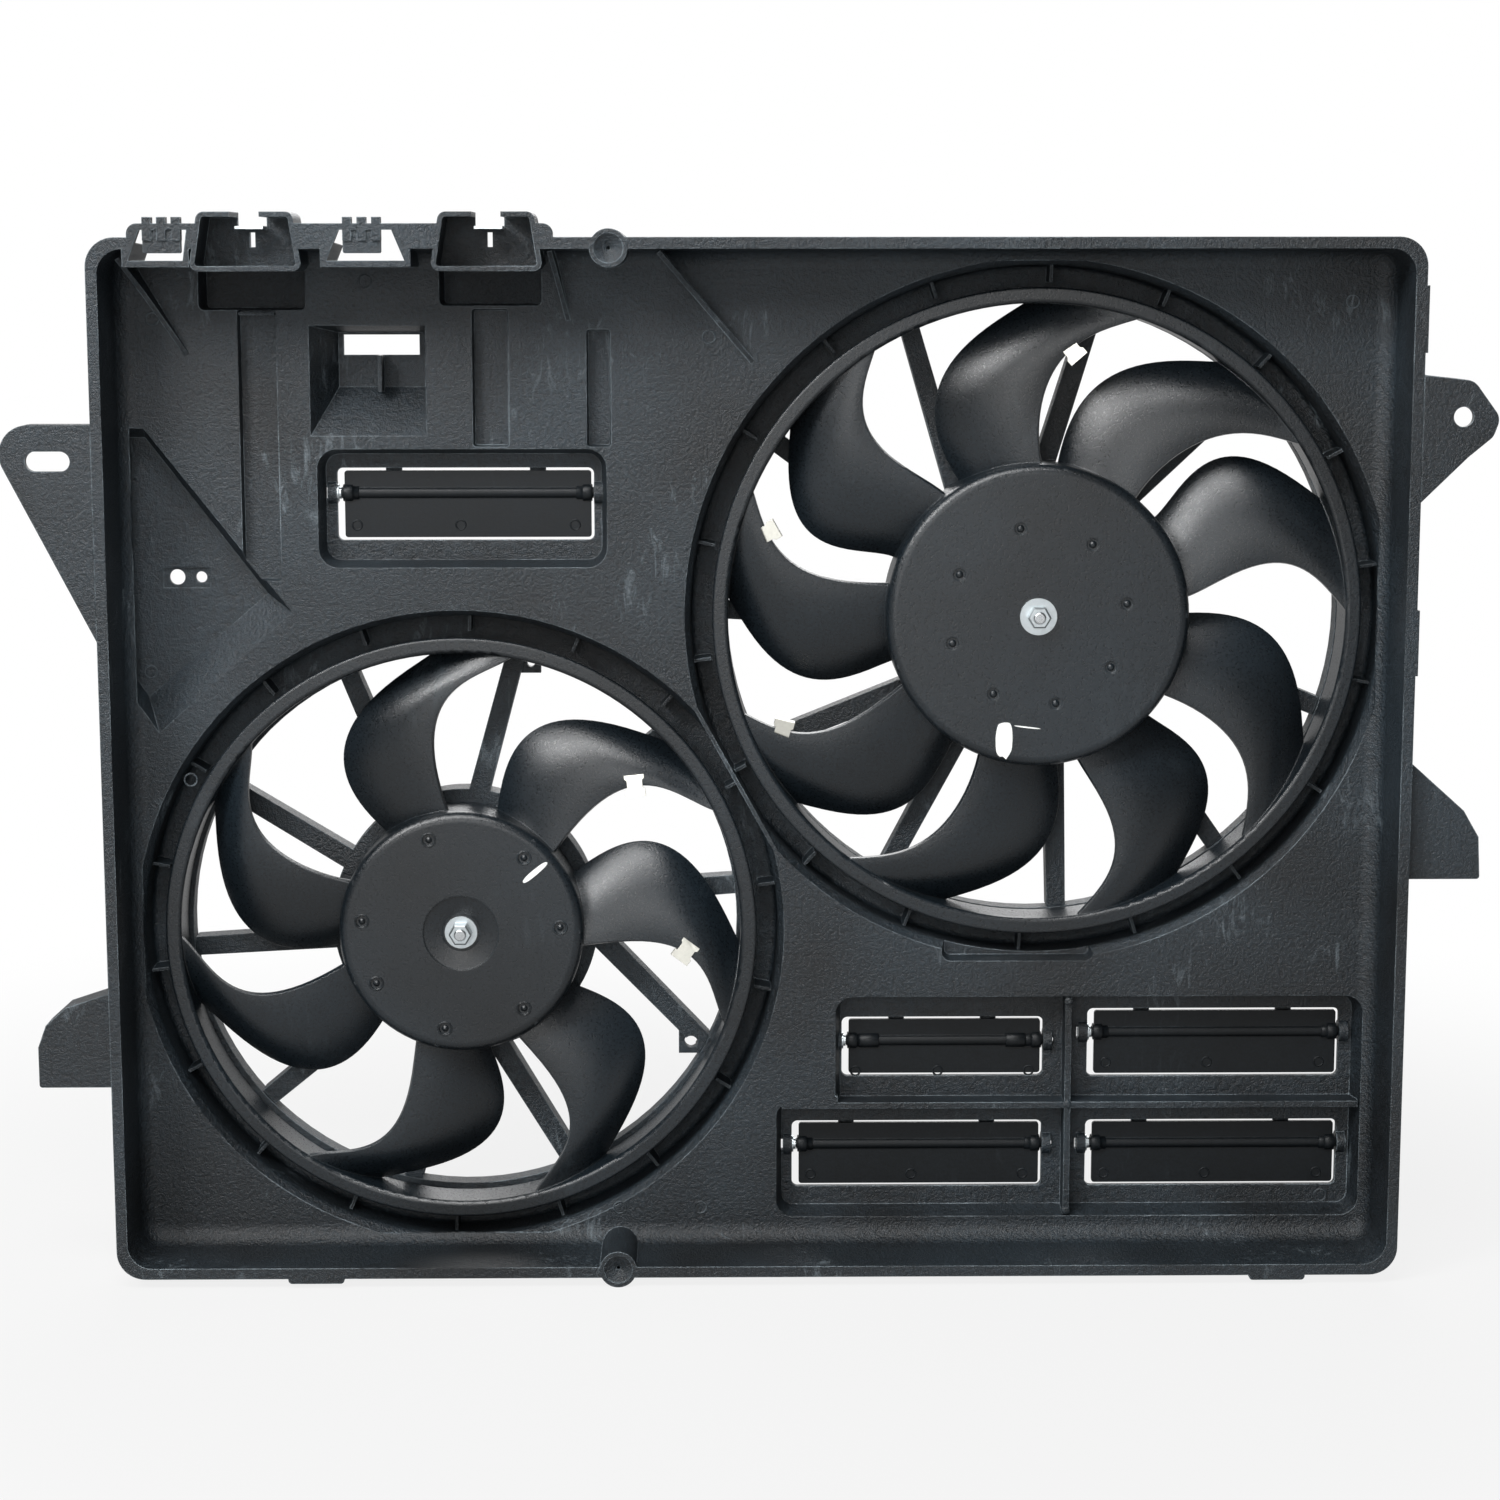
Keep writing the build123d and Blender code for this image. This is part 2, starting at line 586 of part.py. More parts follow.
def between_fans(fan, other):
    """Plane of the thin wall between the two channels, facing away from the fan."""
    reach_x, reach_z = other.x - fan.x, other.z - fan.z
    apart = hypot(reach_x, reach_z)
    distance = (apart**2 + band_radius(fan) ** 2 - band_radius(other) ** 2) / (2 * apart)
    distance -= CHANNEL_WALL / 2
    normal = (reach_x / apart, 0, reach_z / apart)
    return Plane(
        origin=(fan.x + distance * normal[0], 0, fan.z + distance * normal[2]), z_dir=normal
    )


def airway(fan, other):
    """Air way through a barrel, with the channel round the fan's ring."""
    band = band_radius(fan)
    with BuildPart() as way:
        turned(centre_of(fan), (
            (0, TRAY_DEPTH - OVERCUT), (band + LIP_FLARE, TRAY_DEPTH - OVERCUT),
            (band + LIP_FLARE, TRAY_DEPTH), (band, TRAY_DEPTH + LIP_FLARE + 2),
            (band, BARREL_PLATE_DEPTH), (fan.rear, BARREL_PLATE_DEPTH),
            (fan.rear, REAR_LIP_DEPTH + OVERCUT), (0, REAR_LIP_DEPTH + OVERCUT),
        ), rounded=((3, 5.0), (4, 3.0)))
        split(bisect_by=between_fans(fan, other), keep=Keep.BOTTOM)
    return way.part


def arm_outline(fan, outer_angle, inner_angle):
    """Corners of the tapered bar from the carrier's rim to the barrel's rear lip."""
    outer = Vector(*on_circle(centre_of(fan), fan.rear + 1, outer_angle))
    inner = Vector(*on_circle(centre_of(fan), fan.carrier - 1, inner_angle))
    along = (outer - inner).normalized()
    side = Vector(-along.Y, along.X)
    return (
        inner - side * ARM_INNER_WIDTH / 2, outer - side * ARM_OUTER_WIDTH / 2,
        outer + side * ARM_OUTER_WIDTH / 2, inner + side * ARM_INNER_WIDTH / 2,
    )


def slit_edges(x):
    """Edges of the slit in the back of a pocket, which its clip nut has too."""
    bottom = TRAY_TOP + 1.0
    return x - SLIT_WIDTH / 2, bottom, x + SLIT_WIDTH / 2, bottom + SLIT_LENGTH


def screw_places(fan):
    """Where a motor's screws stand, outside its can."""
    return [on_circle(centre_of(fan), fan.can + SCREW_CIRCLE, angle) for angle in SCREW_ANGLES]


def carrier(fan):
    """Ring that the motor is screwed to, with its ribs."""
    bore = fan.can + SEAT_GAP
    turned(centre_of(fan), (
        (bore, CARRIER_FRONT), (fan.carrier, CARRIER_FRONT), (fan.carrier, CARRIER_REAR),
        (fan.carrier - CARRIER_WALL, CARRIER_REAR),
        (fan.carrier - CARRIER_WALL, CARRIER_FRONT + WALL),
        (bore + CARRIER_WALL, CARRIER_FRONT + WALL),
        (bore + CARRIER_WALL, CARRIER_REAR), (bore, CARRIER_REAR),
    ))
    with BuildSketch(layer(CARRIER_REAR - 1)) as ribs:
        with Locations(centre_of(fan)):
            with PolarLocations((bore + fan.carrier) / 2, CARRIER_RIBS):
                Rectangle(fan.carrier - bore - CARRIER_WALL, CARRIER_RIB_WIDTH)
    extrude(ribs.sketch, amount=CARRIER_REAR - CARRIER_FRONT - 2)


def channel_fins(fan, other):
    """Thin radial fins in the channel round a fan's ring."""
    band = band_radius(fan)
    inner = fan.ring + FIN_GAP
    with BuildPart() as fins:
        with BuildSketch(layer(BARREL_PLATE_DEPTH + 1)) as outlines:
            with Locations(centre_of(fan)):
                with PolarLocations((band + 1 + inner) / 2, CHANNEL_RIBS, start_angle=8):
                    Rectangle(band + 1 - inner, CHANNEL_RIB_WIDTH)
        extrude(outlines.sketch, amount=BARREL_PLATE_DEPTH + 1 - FIN_FRONT)
        split(bisect_by=between_fans(fan, other), keep=Keep.BOTTOM)
    return fins.part


# Sunken triangle: the hollow and the block behind it
with BuildPart() as triangle_pit:
    with BuildSketch(layer(TRIANGLE_DEPTH)) as pit_floor:
        with BuildLine():
            Polyline(*TRIANGLE_FLOOR, close=True)
        make_face()
    with BuildSketch(layer(TRAY_DEPTH - OVERCUT)) as pit_mouth:
        with BuildLine():
            Polyline(*TRIANGLE_MOUTH, close=True)
        make_face()
    loft([pit_floor.sketch, pit_mouth.sketch], ruled=True)
    split(bisect_by=Plane.YZ.offset(FLOOR_EDGES[0]), keep=Keep.TOP)

with BuildPart() as triangle_back:
    shape(TRAY_DEPTH, TRIANGLE_DEPTH + WALL, TRIANGLE_MOUTH, shrink=-2.0)
    split(bisect_by=Plane.YZ.offset(FLOOR_EDGES[0] - WALL), keep=Keep.TOP)

# Motor carriers, each with the arms that hold it in its barrel. They are moulded in one with
# the shroud and are exported as pieces of their own that meet it at the rear lip's bore.
for fan in FANS:
    screws = screw_places(fan)
    with BuildPart() as motor_carrier:
        carrier(fan)
        with BuildSketch(layer(ARM_REAR)) as bars:
            for outer_angle, inner_angle in fan.arms:
                with BuildLine():
                    Polyline(*arm_outline(fan, outer_angle, inner_angle), close=True)
                make_face()
        extrude(bars.sketch, amount=ARM_REAR - ARM_FRONT)
        discs(CARRIER_FRONT + 1, CARRIER_REAR, screws, SCREW_BOSS_RADIUS)
        discs(CARRIER_FRONT - OVERCUT, CARRIER_FRONT + SCREW_LENGTH + OVERCUT, screws,
              SCREW_RADIUS, Mode.SUBTRACT)
        if fan is LEFT_FAN:
            slabs(REAR_LIP_DEPTH - LUG_THICKNESS, REAR_LIP_DEPTH, [
                (x - size / 2, z - size / 2, x + size / 2, z + size / 2)
                for x, z, size, hole in LUG_PLACES
            ])
            for x, z, size, hole in LUG_PLACES:
                discs(CARRIER_FRONT - OVERCUT, CARRIER_REAR, [(x, z)], hole, Mode.SUBTRACT)
        discs(CARRIER_FRONT - OVERCUT, CARRIER_REAR + OVERCUT, [centre_of(fan)], fan.rear,
              Mode.INTERSECT)
    export(motor_carrier, fan.name + "_motor_carrier")

# Everything that sinks behind the tray's floor or stands out of its walls, as solid blocks
with BuildPart() as blocks:
    for fan in FANS:
        band = band_radius(fan)
        turned(centre_of(fan), (
            (0, TRAY_DEPTH), (band + LIP_FLARE + 1, TRAY_DEPTH),
            (band + LIP_FLARE + 1, BARREL_PLATE_DEPTH + WALL),
            (fan.rear + REAR_LIP_WALL, BARREL_PLATE_DEPTH + WALL),
            (fan.rear + REAR_LIP_WALL, REAR_LIP_DEPTH), (0, REAR_LIP_DEPTH),
        ), rounded=((2, BARREL_ROUND),))
    slab(TRAY_DEPTH, WINDOW_BACK, grown(TOP_RECESS, CELL_WALL), TOP_RECESS_CORNER + WALL)
    shape(TRAY_DEPTH, WINDOW_BACK, CELLS_OUTLINE, shrink=-CELL_WALL)
    slabs(TRAY_DEPTH, CHANNEL_DEPTH + WALL, [grown(channel, WALL) for channel in CHANNELS])
    slabs(TRAY_DEPTH, PIT_DEPTH + WALL, [grown(pit, WALL) for pit in PITS])
    slab(TRAY_DEPTH, DUCT_DEPTH + WALL, grown(DUCT_MOUTH, WALL), BACK_CORNER)
    slab(TRAY_DEPTH, STEP_DEPTH + WALL, grown(STEP_EDGES, WALL), BACK_CORNER)
    add(triangle_back.part)
    slabs(0, FLOOR_BACK, [
        (window[0][0] - WALL, HOOK_WALL, window[1][0] + WALL, TRAY_TOP + 2)
        for window in HOOK_WINDOWS
    ])
    slabs(POCKET_DEPTH - WALL, FLOOR_BACK, [
        (pit[0] - WALL, PIT_TOP, pit[2] + WALL, TRAY_TOP + WALL) for pit in PITS
    ])
    for x in POCKET_CENTRES:
        shape(0, POCKET_DEPTH, pocket_outline(x), POCKET_CORNER)
    discs(0, FLOOR_BACK, (TOP_BOSS, BOTTOM_BOSS), BOSS_RADIUS)

# Everything that is hollow in those blocks, with the windows of the flaps
with BuildPart() as hollows:
    for fan, other in (FANS, FANS[::-1]):
        add(airway(fan, other))
    tapered_pit(WINDOW_FRONT, TOP_RECESS, TOP_RECESS_CORNER)
    tapered_pit(WINDOW_FRONT, (CELL_LEFT_UPPER, CELL_SPLIT - 20, CELL_RIGHT, CELL_TOP), CELL_CORNER)
    tapered_pit(WINDOW_FRONT, (CELL_LEFT_LOWER, CELL_BOTTOM, CELL_RIGHT, CELL_SPLIT), CELL_CORNER)
    slabs(WINDOW_FRONT - OVERCUT, WINDOW_BACK + OVERCUT, WINDOWS.values(), WINDOW_CORNER)
    for channel in CHANNELS:
        tapered_pit(CHANNEL_DEPTH, channel, 1, CHANNEL_DRAFT)
    for pit in PITS:
        tapered_pit(PIT_DEPTH, pit, PIT_CORNER, POCKET_DRAFT)
    slabs(POCKET_DEPTH, PIT_DEPTH, [
        (pit[0], PIT_TOP + WALL, pit[2], POCKET_TOP + OVERCUT) for pit in PITS
    ])
    tapered_pit(STEP_DEPTH, STEP_EDGES, STEP_CORNER)
    add(triangle_pit.part)
    slab(TRIANGLE_DEPTH - 1, TRIANGLE_DEPTH + 1, TRIANGLE_PATCH)
    for x, z, radius in TRIANGLE_HOLES:
        discs(TRIANGLE_DEPTH, TRIANGLE_DEPTH + WALL + OVERCUT, [(x, z)], radius)
    with BuildSketch(layer(DUCT_DEPTH)) as duct_end:
        panel(*DUCT_END)
    with BuildSketch(layer(TRAY_DEPTH - OVERCUT)) as duct_mouth:
        panel(*DUCT_MOUTH)
    loft([duct_end.sketch, duct_mouth.sketch])
    slab(DUCT_DEPTH - OVERCUT, DUCT_DEPTH + WALL + OVERCUT, DUCT_SLOT)
    for x in POCKET_CENTRES:
        shape(-OVERCUT, POCKET_DEPTH - WALL, pocket_outline(x), POCKET_CORNER, POCKET_WALL)
        slab(-OVERCUT, POCKET_DEPTH + OVERCUT, (
            x - NOTCH_WIDTH / 2, POCKET_TOP - NOTCH_DEPTH,
            x + NOTCH_WIDTH / 2, POCKET_TOP + OVERCUT))
        slab(POCKET_DEPTH - WALL - OVERCUT, POCKET_DEPTH + OVERCUT, slit_edges(x))
    for window in HOOK_WINDOWS:
        shape(-OVERCUT, FLOOR_BACK + OVERCUT, window)
    for centre in (TOP_BOSS, BOTTOM_BOSS):
        turned(centre, (
            (0, -OVERCUT), (BOSS_DISH_RADIUS, -OVERCUT), (BOSS_DISH_RADIUS, BOSS_DISH_RIM),
            (BOSS_PILOT_RADIUS, BOSS_DISH_DEPTH), (BOSS_PILOT_RADIUS, BOSS_PILOT_DEPTH),
            (0, BOSS_PILOT_DEPTH),
        ))

# Ribs, eyes, stops, fins, hooks and gussets
with BuildPart() as fittings:
    slab(TRAY_DEPTH, WINDOW_BACK, (
        CELL_LEFT_LOWER, CELL_SPLIT - CELL_RIB / 2, CELL_RIGHT + 2, CELL_SPLIT + CELL_RIB / 2))
    slab(TRAY_DEPTH, WINDOW_BACK, (
        CELL_MIDDLE - CELL_RIB / 2, CELL_BOTTOM - 2, CELL_MIDDLE + CELL_RIB / 2, CELL_TOP + 2))
    slab(TRAY_DEPTH, WINDOW_BACK, (
        CELL_LEFT_LOWER - 5, CELL_SPLIT, CELL_LEFT_UPPER - 1.5, CELL_SPLIT + 5))
    slabs(WINDOW_BACK, WINDOW_BACK + STOP_THICKNESS, [
        (x - STOP_WIDTH / 2, edges[3] - STOP_REACH, x + STOP_WIDTH / 2, edges[3] + STOP_REACH)
        for edges in WINDOWS.values() for x in (edges[0] + STOP_INSET, edges[2] - STOP_INSET)
    ])
    for edges in WINDOWS.values():
        for start in (edges[0] - EYE_LENGTH, edges[2]):
            rod(across(start, edges), EYE_RADIUS, EYE_LENGTH)
    for fan, other in (FANS, FANS[::-1]):
        add(channel_fins(fan, other))
    slabs(HOOK_FRONT, HOOK_FRONT + HOOK_THICKNESS, [
        (x - HOOK_WIDTH / 2, HOOK_BOTTOM, x + HOOK_WIDTH / 2, HOOK_TOP) for x in HOOK_CENTRES
    ], 1)
    slabs(HOOK_FRONT - 1, HOOK_FRONT + HOOK_THICKNESS + 1, [
        (x + step * PRONG_SPACING - PRONG_WIDTH / 2, HOOK_TIP - PRONG_LENGTH,
         x + step * PRONG_SPACING + PRONG_WIDTH / 2, HOOK_TIP)
        for x in HOOK_CENTRES for step in (-1, 0, 1)
    ])
    slab(DUCT_RIB_FRONT, DUCT_DEPTH + 1, DUCT_RIB)
    slab(TRAY_DEPTH, CHANNEL_DEPTH + 1, CHANNEL_STEP)
    for wall_x, wall_z, floor_x, floor_z in GUSSETS:
        run = hypot(floor_x - wall_x, floor_z - wall_z)
        with BuildSketch(Plane(
            origin=(wall_x, FLANGE_Y, wall_z),
            x_dir=((floor_x - wall_x) / run, 0, (floor_z - wall_z) / run),
            z_dir=((wall_z - floor_z) / run, 0, (floor_x - wall_x) / run),
        )) as gusset:
            with BuildLine():
                Polyline(
                    (-GUSSET_SINK, GUSSET_FRONT), (run * 0.35, TRAY_DEPTH * 0.62),
                    (run, TRAY_DEPTH), (run, TRAY_DEPTH + 1), (-GUSSET_SINK, TRAY_DEPTH + 1),
                    close=True)
            make_face()
        extrude(gusset.sketch, amount=GUSSET_THICKNESS / 2, both=True)

# Holes through the hinge eyes
with BuildPart() as holes:
    for edges in WINDOWS.values():
        rod(across(edges[0] - EYE_LENGTH - OVERCUT, edges),
            BUSH_RADIUS + SEAT_CLEARANCE, EYE_LENGTH + 2 * OVERCUT)
        rod(across(edges[2] - OVERCUT, edges),
            FLAP_PIN_RADIUS + PIN_CLEARANCE, EYE_LENGTH + 2 * OVERCUT)

# Tray: its outer form, still solid, with drafted walls and the flange
with BuildPart() as tray:
    with BuildSketch(layer(FLOOR_BACK)) as tray_back:
        panel(*grown(FLOOR_EDGES, WALL), TRAY_CORNER)
    extrude(tray_back.sketch, amount=FLOOR_BACK, taper=-TRAY_DRAFT)
    fillet(tray.faces().sort_by(Axis.Y)[-1].edges(), FLOOR_FILLET)
    with BuildSketch(layer(FLANGE_THICKNESS)) as flange:
        panel(*grown((TRAY_LEFT, TRAY_BOTTOM, TRAY_RIGHT, TRAY_TOP), FLANGE_WIDTH), TRAY_CORNER)
        panel(RAISE_LEFT, TRAY_TOP - 20, RAISE_RIGHT, TRAY_TOP + FLANGE_WIDTH + TOP_RAISE, 5)
        for x in FOOT_CENTRES:
            panel(x - FOOT_WIDTH / 2, TRAY_BOTTOM - FLANGE_WIDTH - FOOT_DROP,
                  x + FOOT_WIDTH / 2, TRAY_BOTTOM, 2)
        for z in JOG_CENTRES:
            panel(TRAY_RIGHT, z - JOG_HEIGHT / 2,
                  TRAY_RIGHT + FLANGE_WIDTH + JOG_REACH, z + JOG_HEIGHT / 2)
    extrude(flange.sketch, amount=FLANGE_THICKNESS)

# Ears and tabs on the walls, also moulded in one with the shroud
for label, front, depth, points, rounded in (
    ("left_ear", 0, EAR_DEPTH, LEFT_EAR, LEFT_EAR_ROUNDS),
    ("right_ear", 0, EAR_DEPTH, RIGHT_EAR, RIGHT_EAR_ROUNDS),
    ("left_tab", TAB_FRONT, TAB_DEPTH, LEFT_TAB, LEFT_TAB_ROUNDS),
    ("right_tab", TAB_FRONT, TAB_DEPTH, RIGHT_TAB, RIGHT_TAB_ROUNDS),
):
    with BuildPart() as plate:
        ribbed_plate(front, depth, points, rounded)
        add(tray.part, mode=Mode.SUBTRACT)
        if front == 0:
            with BuildSketch(layer(EAR_PLATE + OVERCUT)) as bolt_hole:
                with Locations((LEFT_SLOT_X, LEFT_SLOT_Z)):
                    SlotOverall(SLOT_LENGTH, 2 * BOLT_HOLE_RADIUS)
                with Locations((RIGHT_HOLE_X, RIGHT_HOLE_Z)):
                    Circle(BOLT_HOLE_RADIUS)
            extrude(bolt_hole.sketch, amount=EAR_PLATE + 2 * OVERCUT, mode=Mode.SUBTRACT)
    export(plate, label)

# Shroud: the tray hollowed out, with everything else that it carries
with BuildPart() as shroud:
    add(tray.part)
    with BuildSketch(layer(TRAY_DEPTH)) as tray_floor:
        panel(*FLOOR_EDGES, TRAY_CORNER - WALL)
    extrude(tray_floor.sketch, amount=TRAY_DEPTH, taper=-TRAY_DRAFT, mode=Mode.SUBTRACT)
    floor_face = shroud.faces().filter_by(
        lambda f: f.normal_at().Y < -0.9 and abs(f.center().Y - FLANGE_Y - TRAY_DEPTH) < 0.1
    )
    fillet(floor_face[0].edges(), FLOOR_FILLET)
    add(blocks.part)
    add(hollows.part, mode=Mode.SUBTRACT)
    add(fittings.part)
    add(holes.part, mode=Mode.SUBTRACT)
export(shroud, "shroud")


def blade_radius(fan, part_way):
    """Radius at a fraction of the way from the hub's wall to the ring's wall."""
    hub_mid = fan.hub - HUB_WALL / 2
    ring_mid = fan.ring - RING_LIP - RING_WALL / 2
    return hub_mid + part_way * (ring_mid - hub_mid)


def lead_angle(fan, number, part_way):
    """Angle of a blade's leading edge at that fraction."""
    bow = fan.bows[number] * sin(pi * part_way)
    return fan.roots[number] + bow - fan.sweeps[number] * part_way**2


def blade(fan, number):
    """One blade, from the middle of the hub's wall to the middle of the ring's wall."""
    outlines = []
    for step, span in enumerate(fan.spans):
        part_way = step / (len(fan.spans) - 1)
        radius = blade_radius(fan, part_way)
        half = radians(span / 2)
        middle = radians(lead_angle(fan, number, part_way) + span / 2)
        distance = radius * cos(half) if step == 0 else radius / cos(half)
        reach = radius * sin(half) if step == 0 else radius * tan(half)
        front = FLANGE_Y + BLADE_FRONT + BLADE_ROOT_DROP * (1 - part_way)
        back = FLANGE_Y + BLADE_REAR + BLADE_ROOT_DROP * (1 - part_way)
        plane = Plane(
            origin=(fan.x + distance * cos(middle), 0, fan.z + distance * sin(middle)),
            x_dir=(-sin(middle), 0, cos(middle)), z_dir=(-cos(middle), 0, -sin(middle)),
        )
        chord = Vector(2 * reach, back - front)
        bulge = Vector(chord.Y, -chord.X).normalized()
        side = bulge * BLADE_THICKNESS / 2
        nose, tail = Vector(-reach, front), Vector(reach, back)
        crown = (nose + tail) / 2 + bulge * chord.length * BLADE_CAMBER
        with BuildSketch(plane) as outline:
            with BuildLine():
                ThreePointArc(nose + side, crown + side, tail + side)
                Line(tail + side, tail - side)
                ThreePointArc(tail - side, crown - side, nose - side)
                Line(nose - side, nose + side)
            make_face()
        outlines.append(outline.sketch)
    with BuildPart() as vane:
        loft(outlines)
        with BuildSketch(layer(HUB_REAR)) as reachable:
            with Locations(centre_of(fan)):
                Circle(blade_radius(fan, 1))
                Circle(blade_radius(fan, 0), mode=Mode.SUBTRACT)
        extrude(reachable.sketch, amount=HUB_REAR - RING_FRONT, mode=Mode.INTERSECT)
    return vane.part


def edge_place(fan, number, part_way):
    """Place on the middle of a blade's leading edge."""
    angle = lead_angle(fan, number, part_way)
    x, z = on_circle(centre_of(fan), blade_radius(fan, part_way), angle)
    return Vector(x, FLANGE_Y + BLADE_FRONT + BLADE_ROOT_DROP * (1 - part_way), z)


def clip_outline():
    """Waisted outline of a balance clip: x runs from the blade's edge inwards, y along the edge."""
    half = CLIP_LENGTH / 2
    waist = half - CLIP_WAIST
    upper = (
        (-CLIP_FOLD, half), (CLIP_REACH * 0.2, half), (CLIP_REACH * 0.3, waist),
        (CLIP_REACH * 0.7, waist), (CLIP_REACH * 0.8, half), (CLIP_REACH, half),
    )
    return upper + tuple((x, -y) for x, y in reversed(upper))


# Fans: hub cup, blades and ring in one piece
for fan in FANS:
    blades = [blade(fan, number) for number in range(len(fan.roots))]
    with BuildPart() as rotor:
        turned(centre_of(fan), (
            (0, fan.face), (fan.hub, fan.face), (fan.hub, HUB_REAR),
            (fan.hub - HUB_WALL, HUB_REAR), (fan.hub - HUB_WALL, fan.face + HUB_FACE_THICKNESS),
            (HUB_PAD_RADIUS, fan.face + HUB_FACE_THICKNESS),
            (HUB_PAD_RADIUS, fan.seat + HUB_PAD_THICKNESS),
            (HUB_BOSS_RADIUS, fan.seat + HUB_PAD_THICKNESS), (HUB_BOSS_RADIUS, SHAFT_SHOULDER),
            (0, SHAFT_SHOULDER),
        ), rounded=((1, HUB_ROUND), (4, HUB_WALL)))
        with BuildSketch(layer(SHAFT_SHOULDER - 1)) as hub_ribs:
            with Locations(centre_of(fan)):
                with PolarLocations(fan.hub / 2, len(fan.roots)):
                    Rectangle(fan.hub - HUB_WALL, HUB_RIB_WIDTH)
        extrude(hub_ribs.sketch, amount=SHAFT_SHOULDER - 2 - fan.face)
        turned(centre_of(fan), (
            (fan.ring - RING_LIP - RING_WALL, RING_FRONT), (fan.ring, RING_FRONT),
            (fan.ring, RING_FRONT + RING_LIP_THICKNESS),
            (fan.ring - RING_LIP, RING_FRONT + RING_LIP_THICKNESS),
            (fan.ring - RING_LIP, RING_REAR), (fan.ring - RING_LIP - RING_WALL, RING_REAR),
        ), rounded=((0, 2.0), (1, 1.2)))
        for vane in blades:
            add(vane)
        discs(fan.face - 1, SHAFT_SHOULDER + 1, [centre_of(fan)],
              STUD_RADIUS + SEAT_CLEARANCE, Mode.SUBTRACT)
        if fan is LEFT_FAN:
            turned(centre_of(fan), (
                (0, fan.face - 1), (HUB_DISH_RADIUS, fan.face - 1),
                (HUB_DISH_RADIUS, fan.face + 0.8), (HUB_SEAT_RADIUS, fan.seat - 0.4),
                (HUB_SEAT_RADIUS, fan.seat), (0, fan.seat),
            ), mode=Mode.SUBTRACT)
        discs(fan.face - 1, fan.face + DIMPLE_DEPTH, [
            on_circle(centre_of(fan), fan.dimple_circle, angle) for angle in fan.dimples
        ], DIMPLE_RADIUS, Mode.SUBTRACT)
    export(rotor, fan.name + "_fan")

    with BuildPart() as clips:
        for number, part_way in fan.clips:
            place = edge_place(fan, number, part_way)
            along = edge_place(fan, number, part_way + 0.03) - edge_place(fan, number, part_way - 0.03)
            along = Vector(along.X, 0, along.Z).normalized()
            pitch = radians(CLIP_PITCH)
            across_edge = Vector(-along.Z * cos(pitch), sin(pitch), along.X * cos(pitch))
            with BuildSketch(Plane(place, x_dir=across_edge, z_dir=across_edge.cross(along))) as strip:
                with BuildLine():
                    Polyline(*clip_outline(), close=True)
                make_face()
            extrude(strip.sketch, amount=BLADE_THICKNESS / 2 + CLIP_SHEET, both=True)
        add(rotor.part, mode=Mode.SUBTRACT)
    export(clips, fan.name + "_balance_clips")

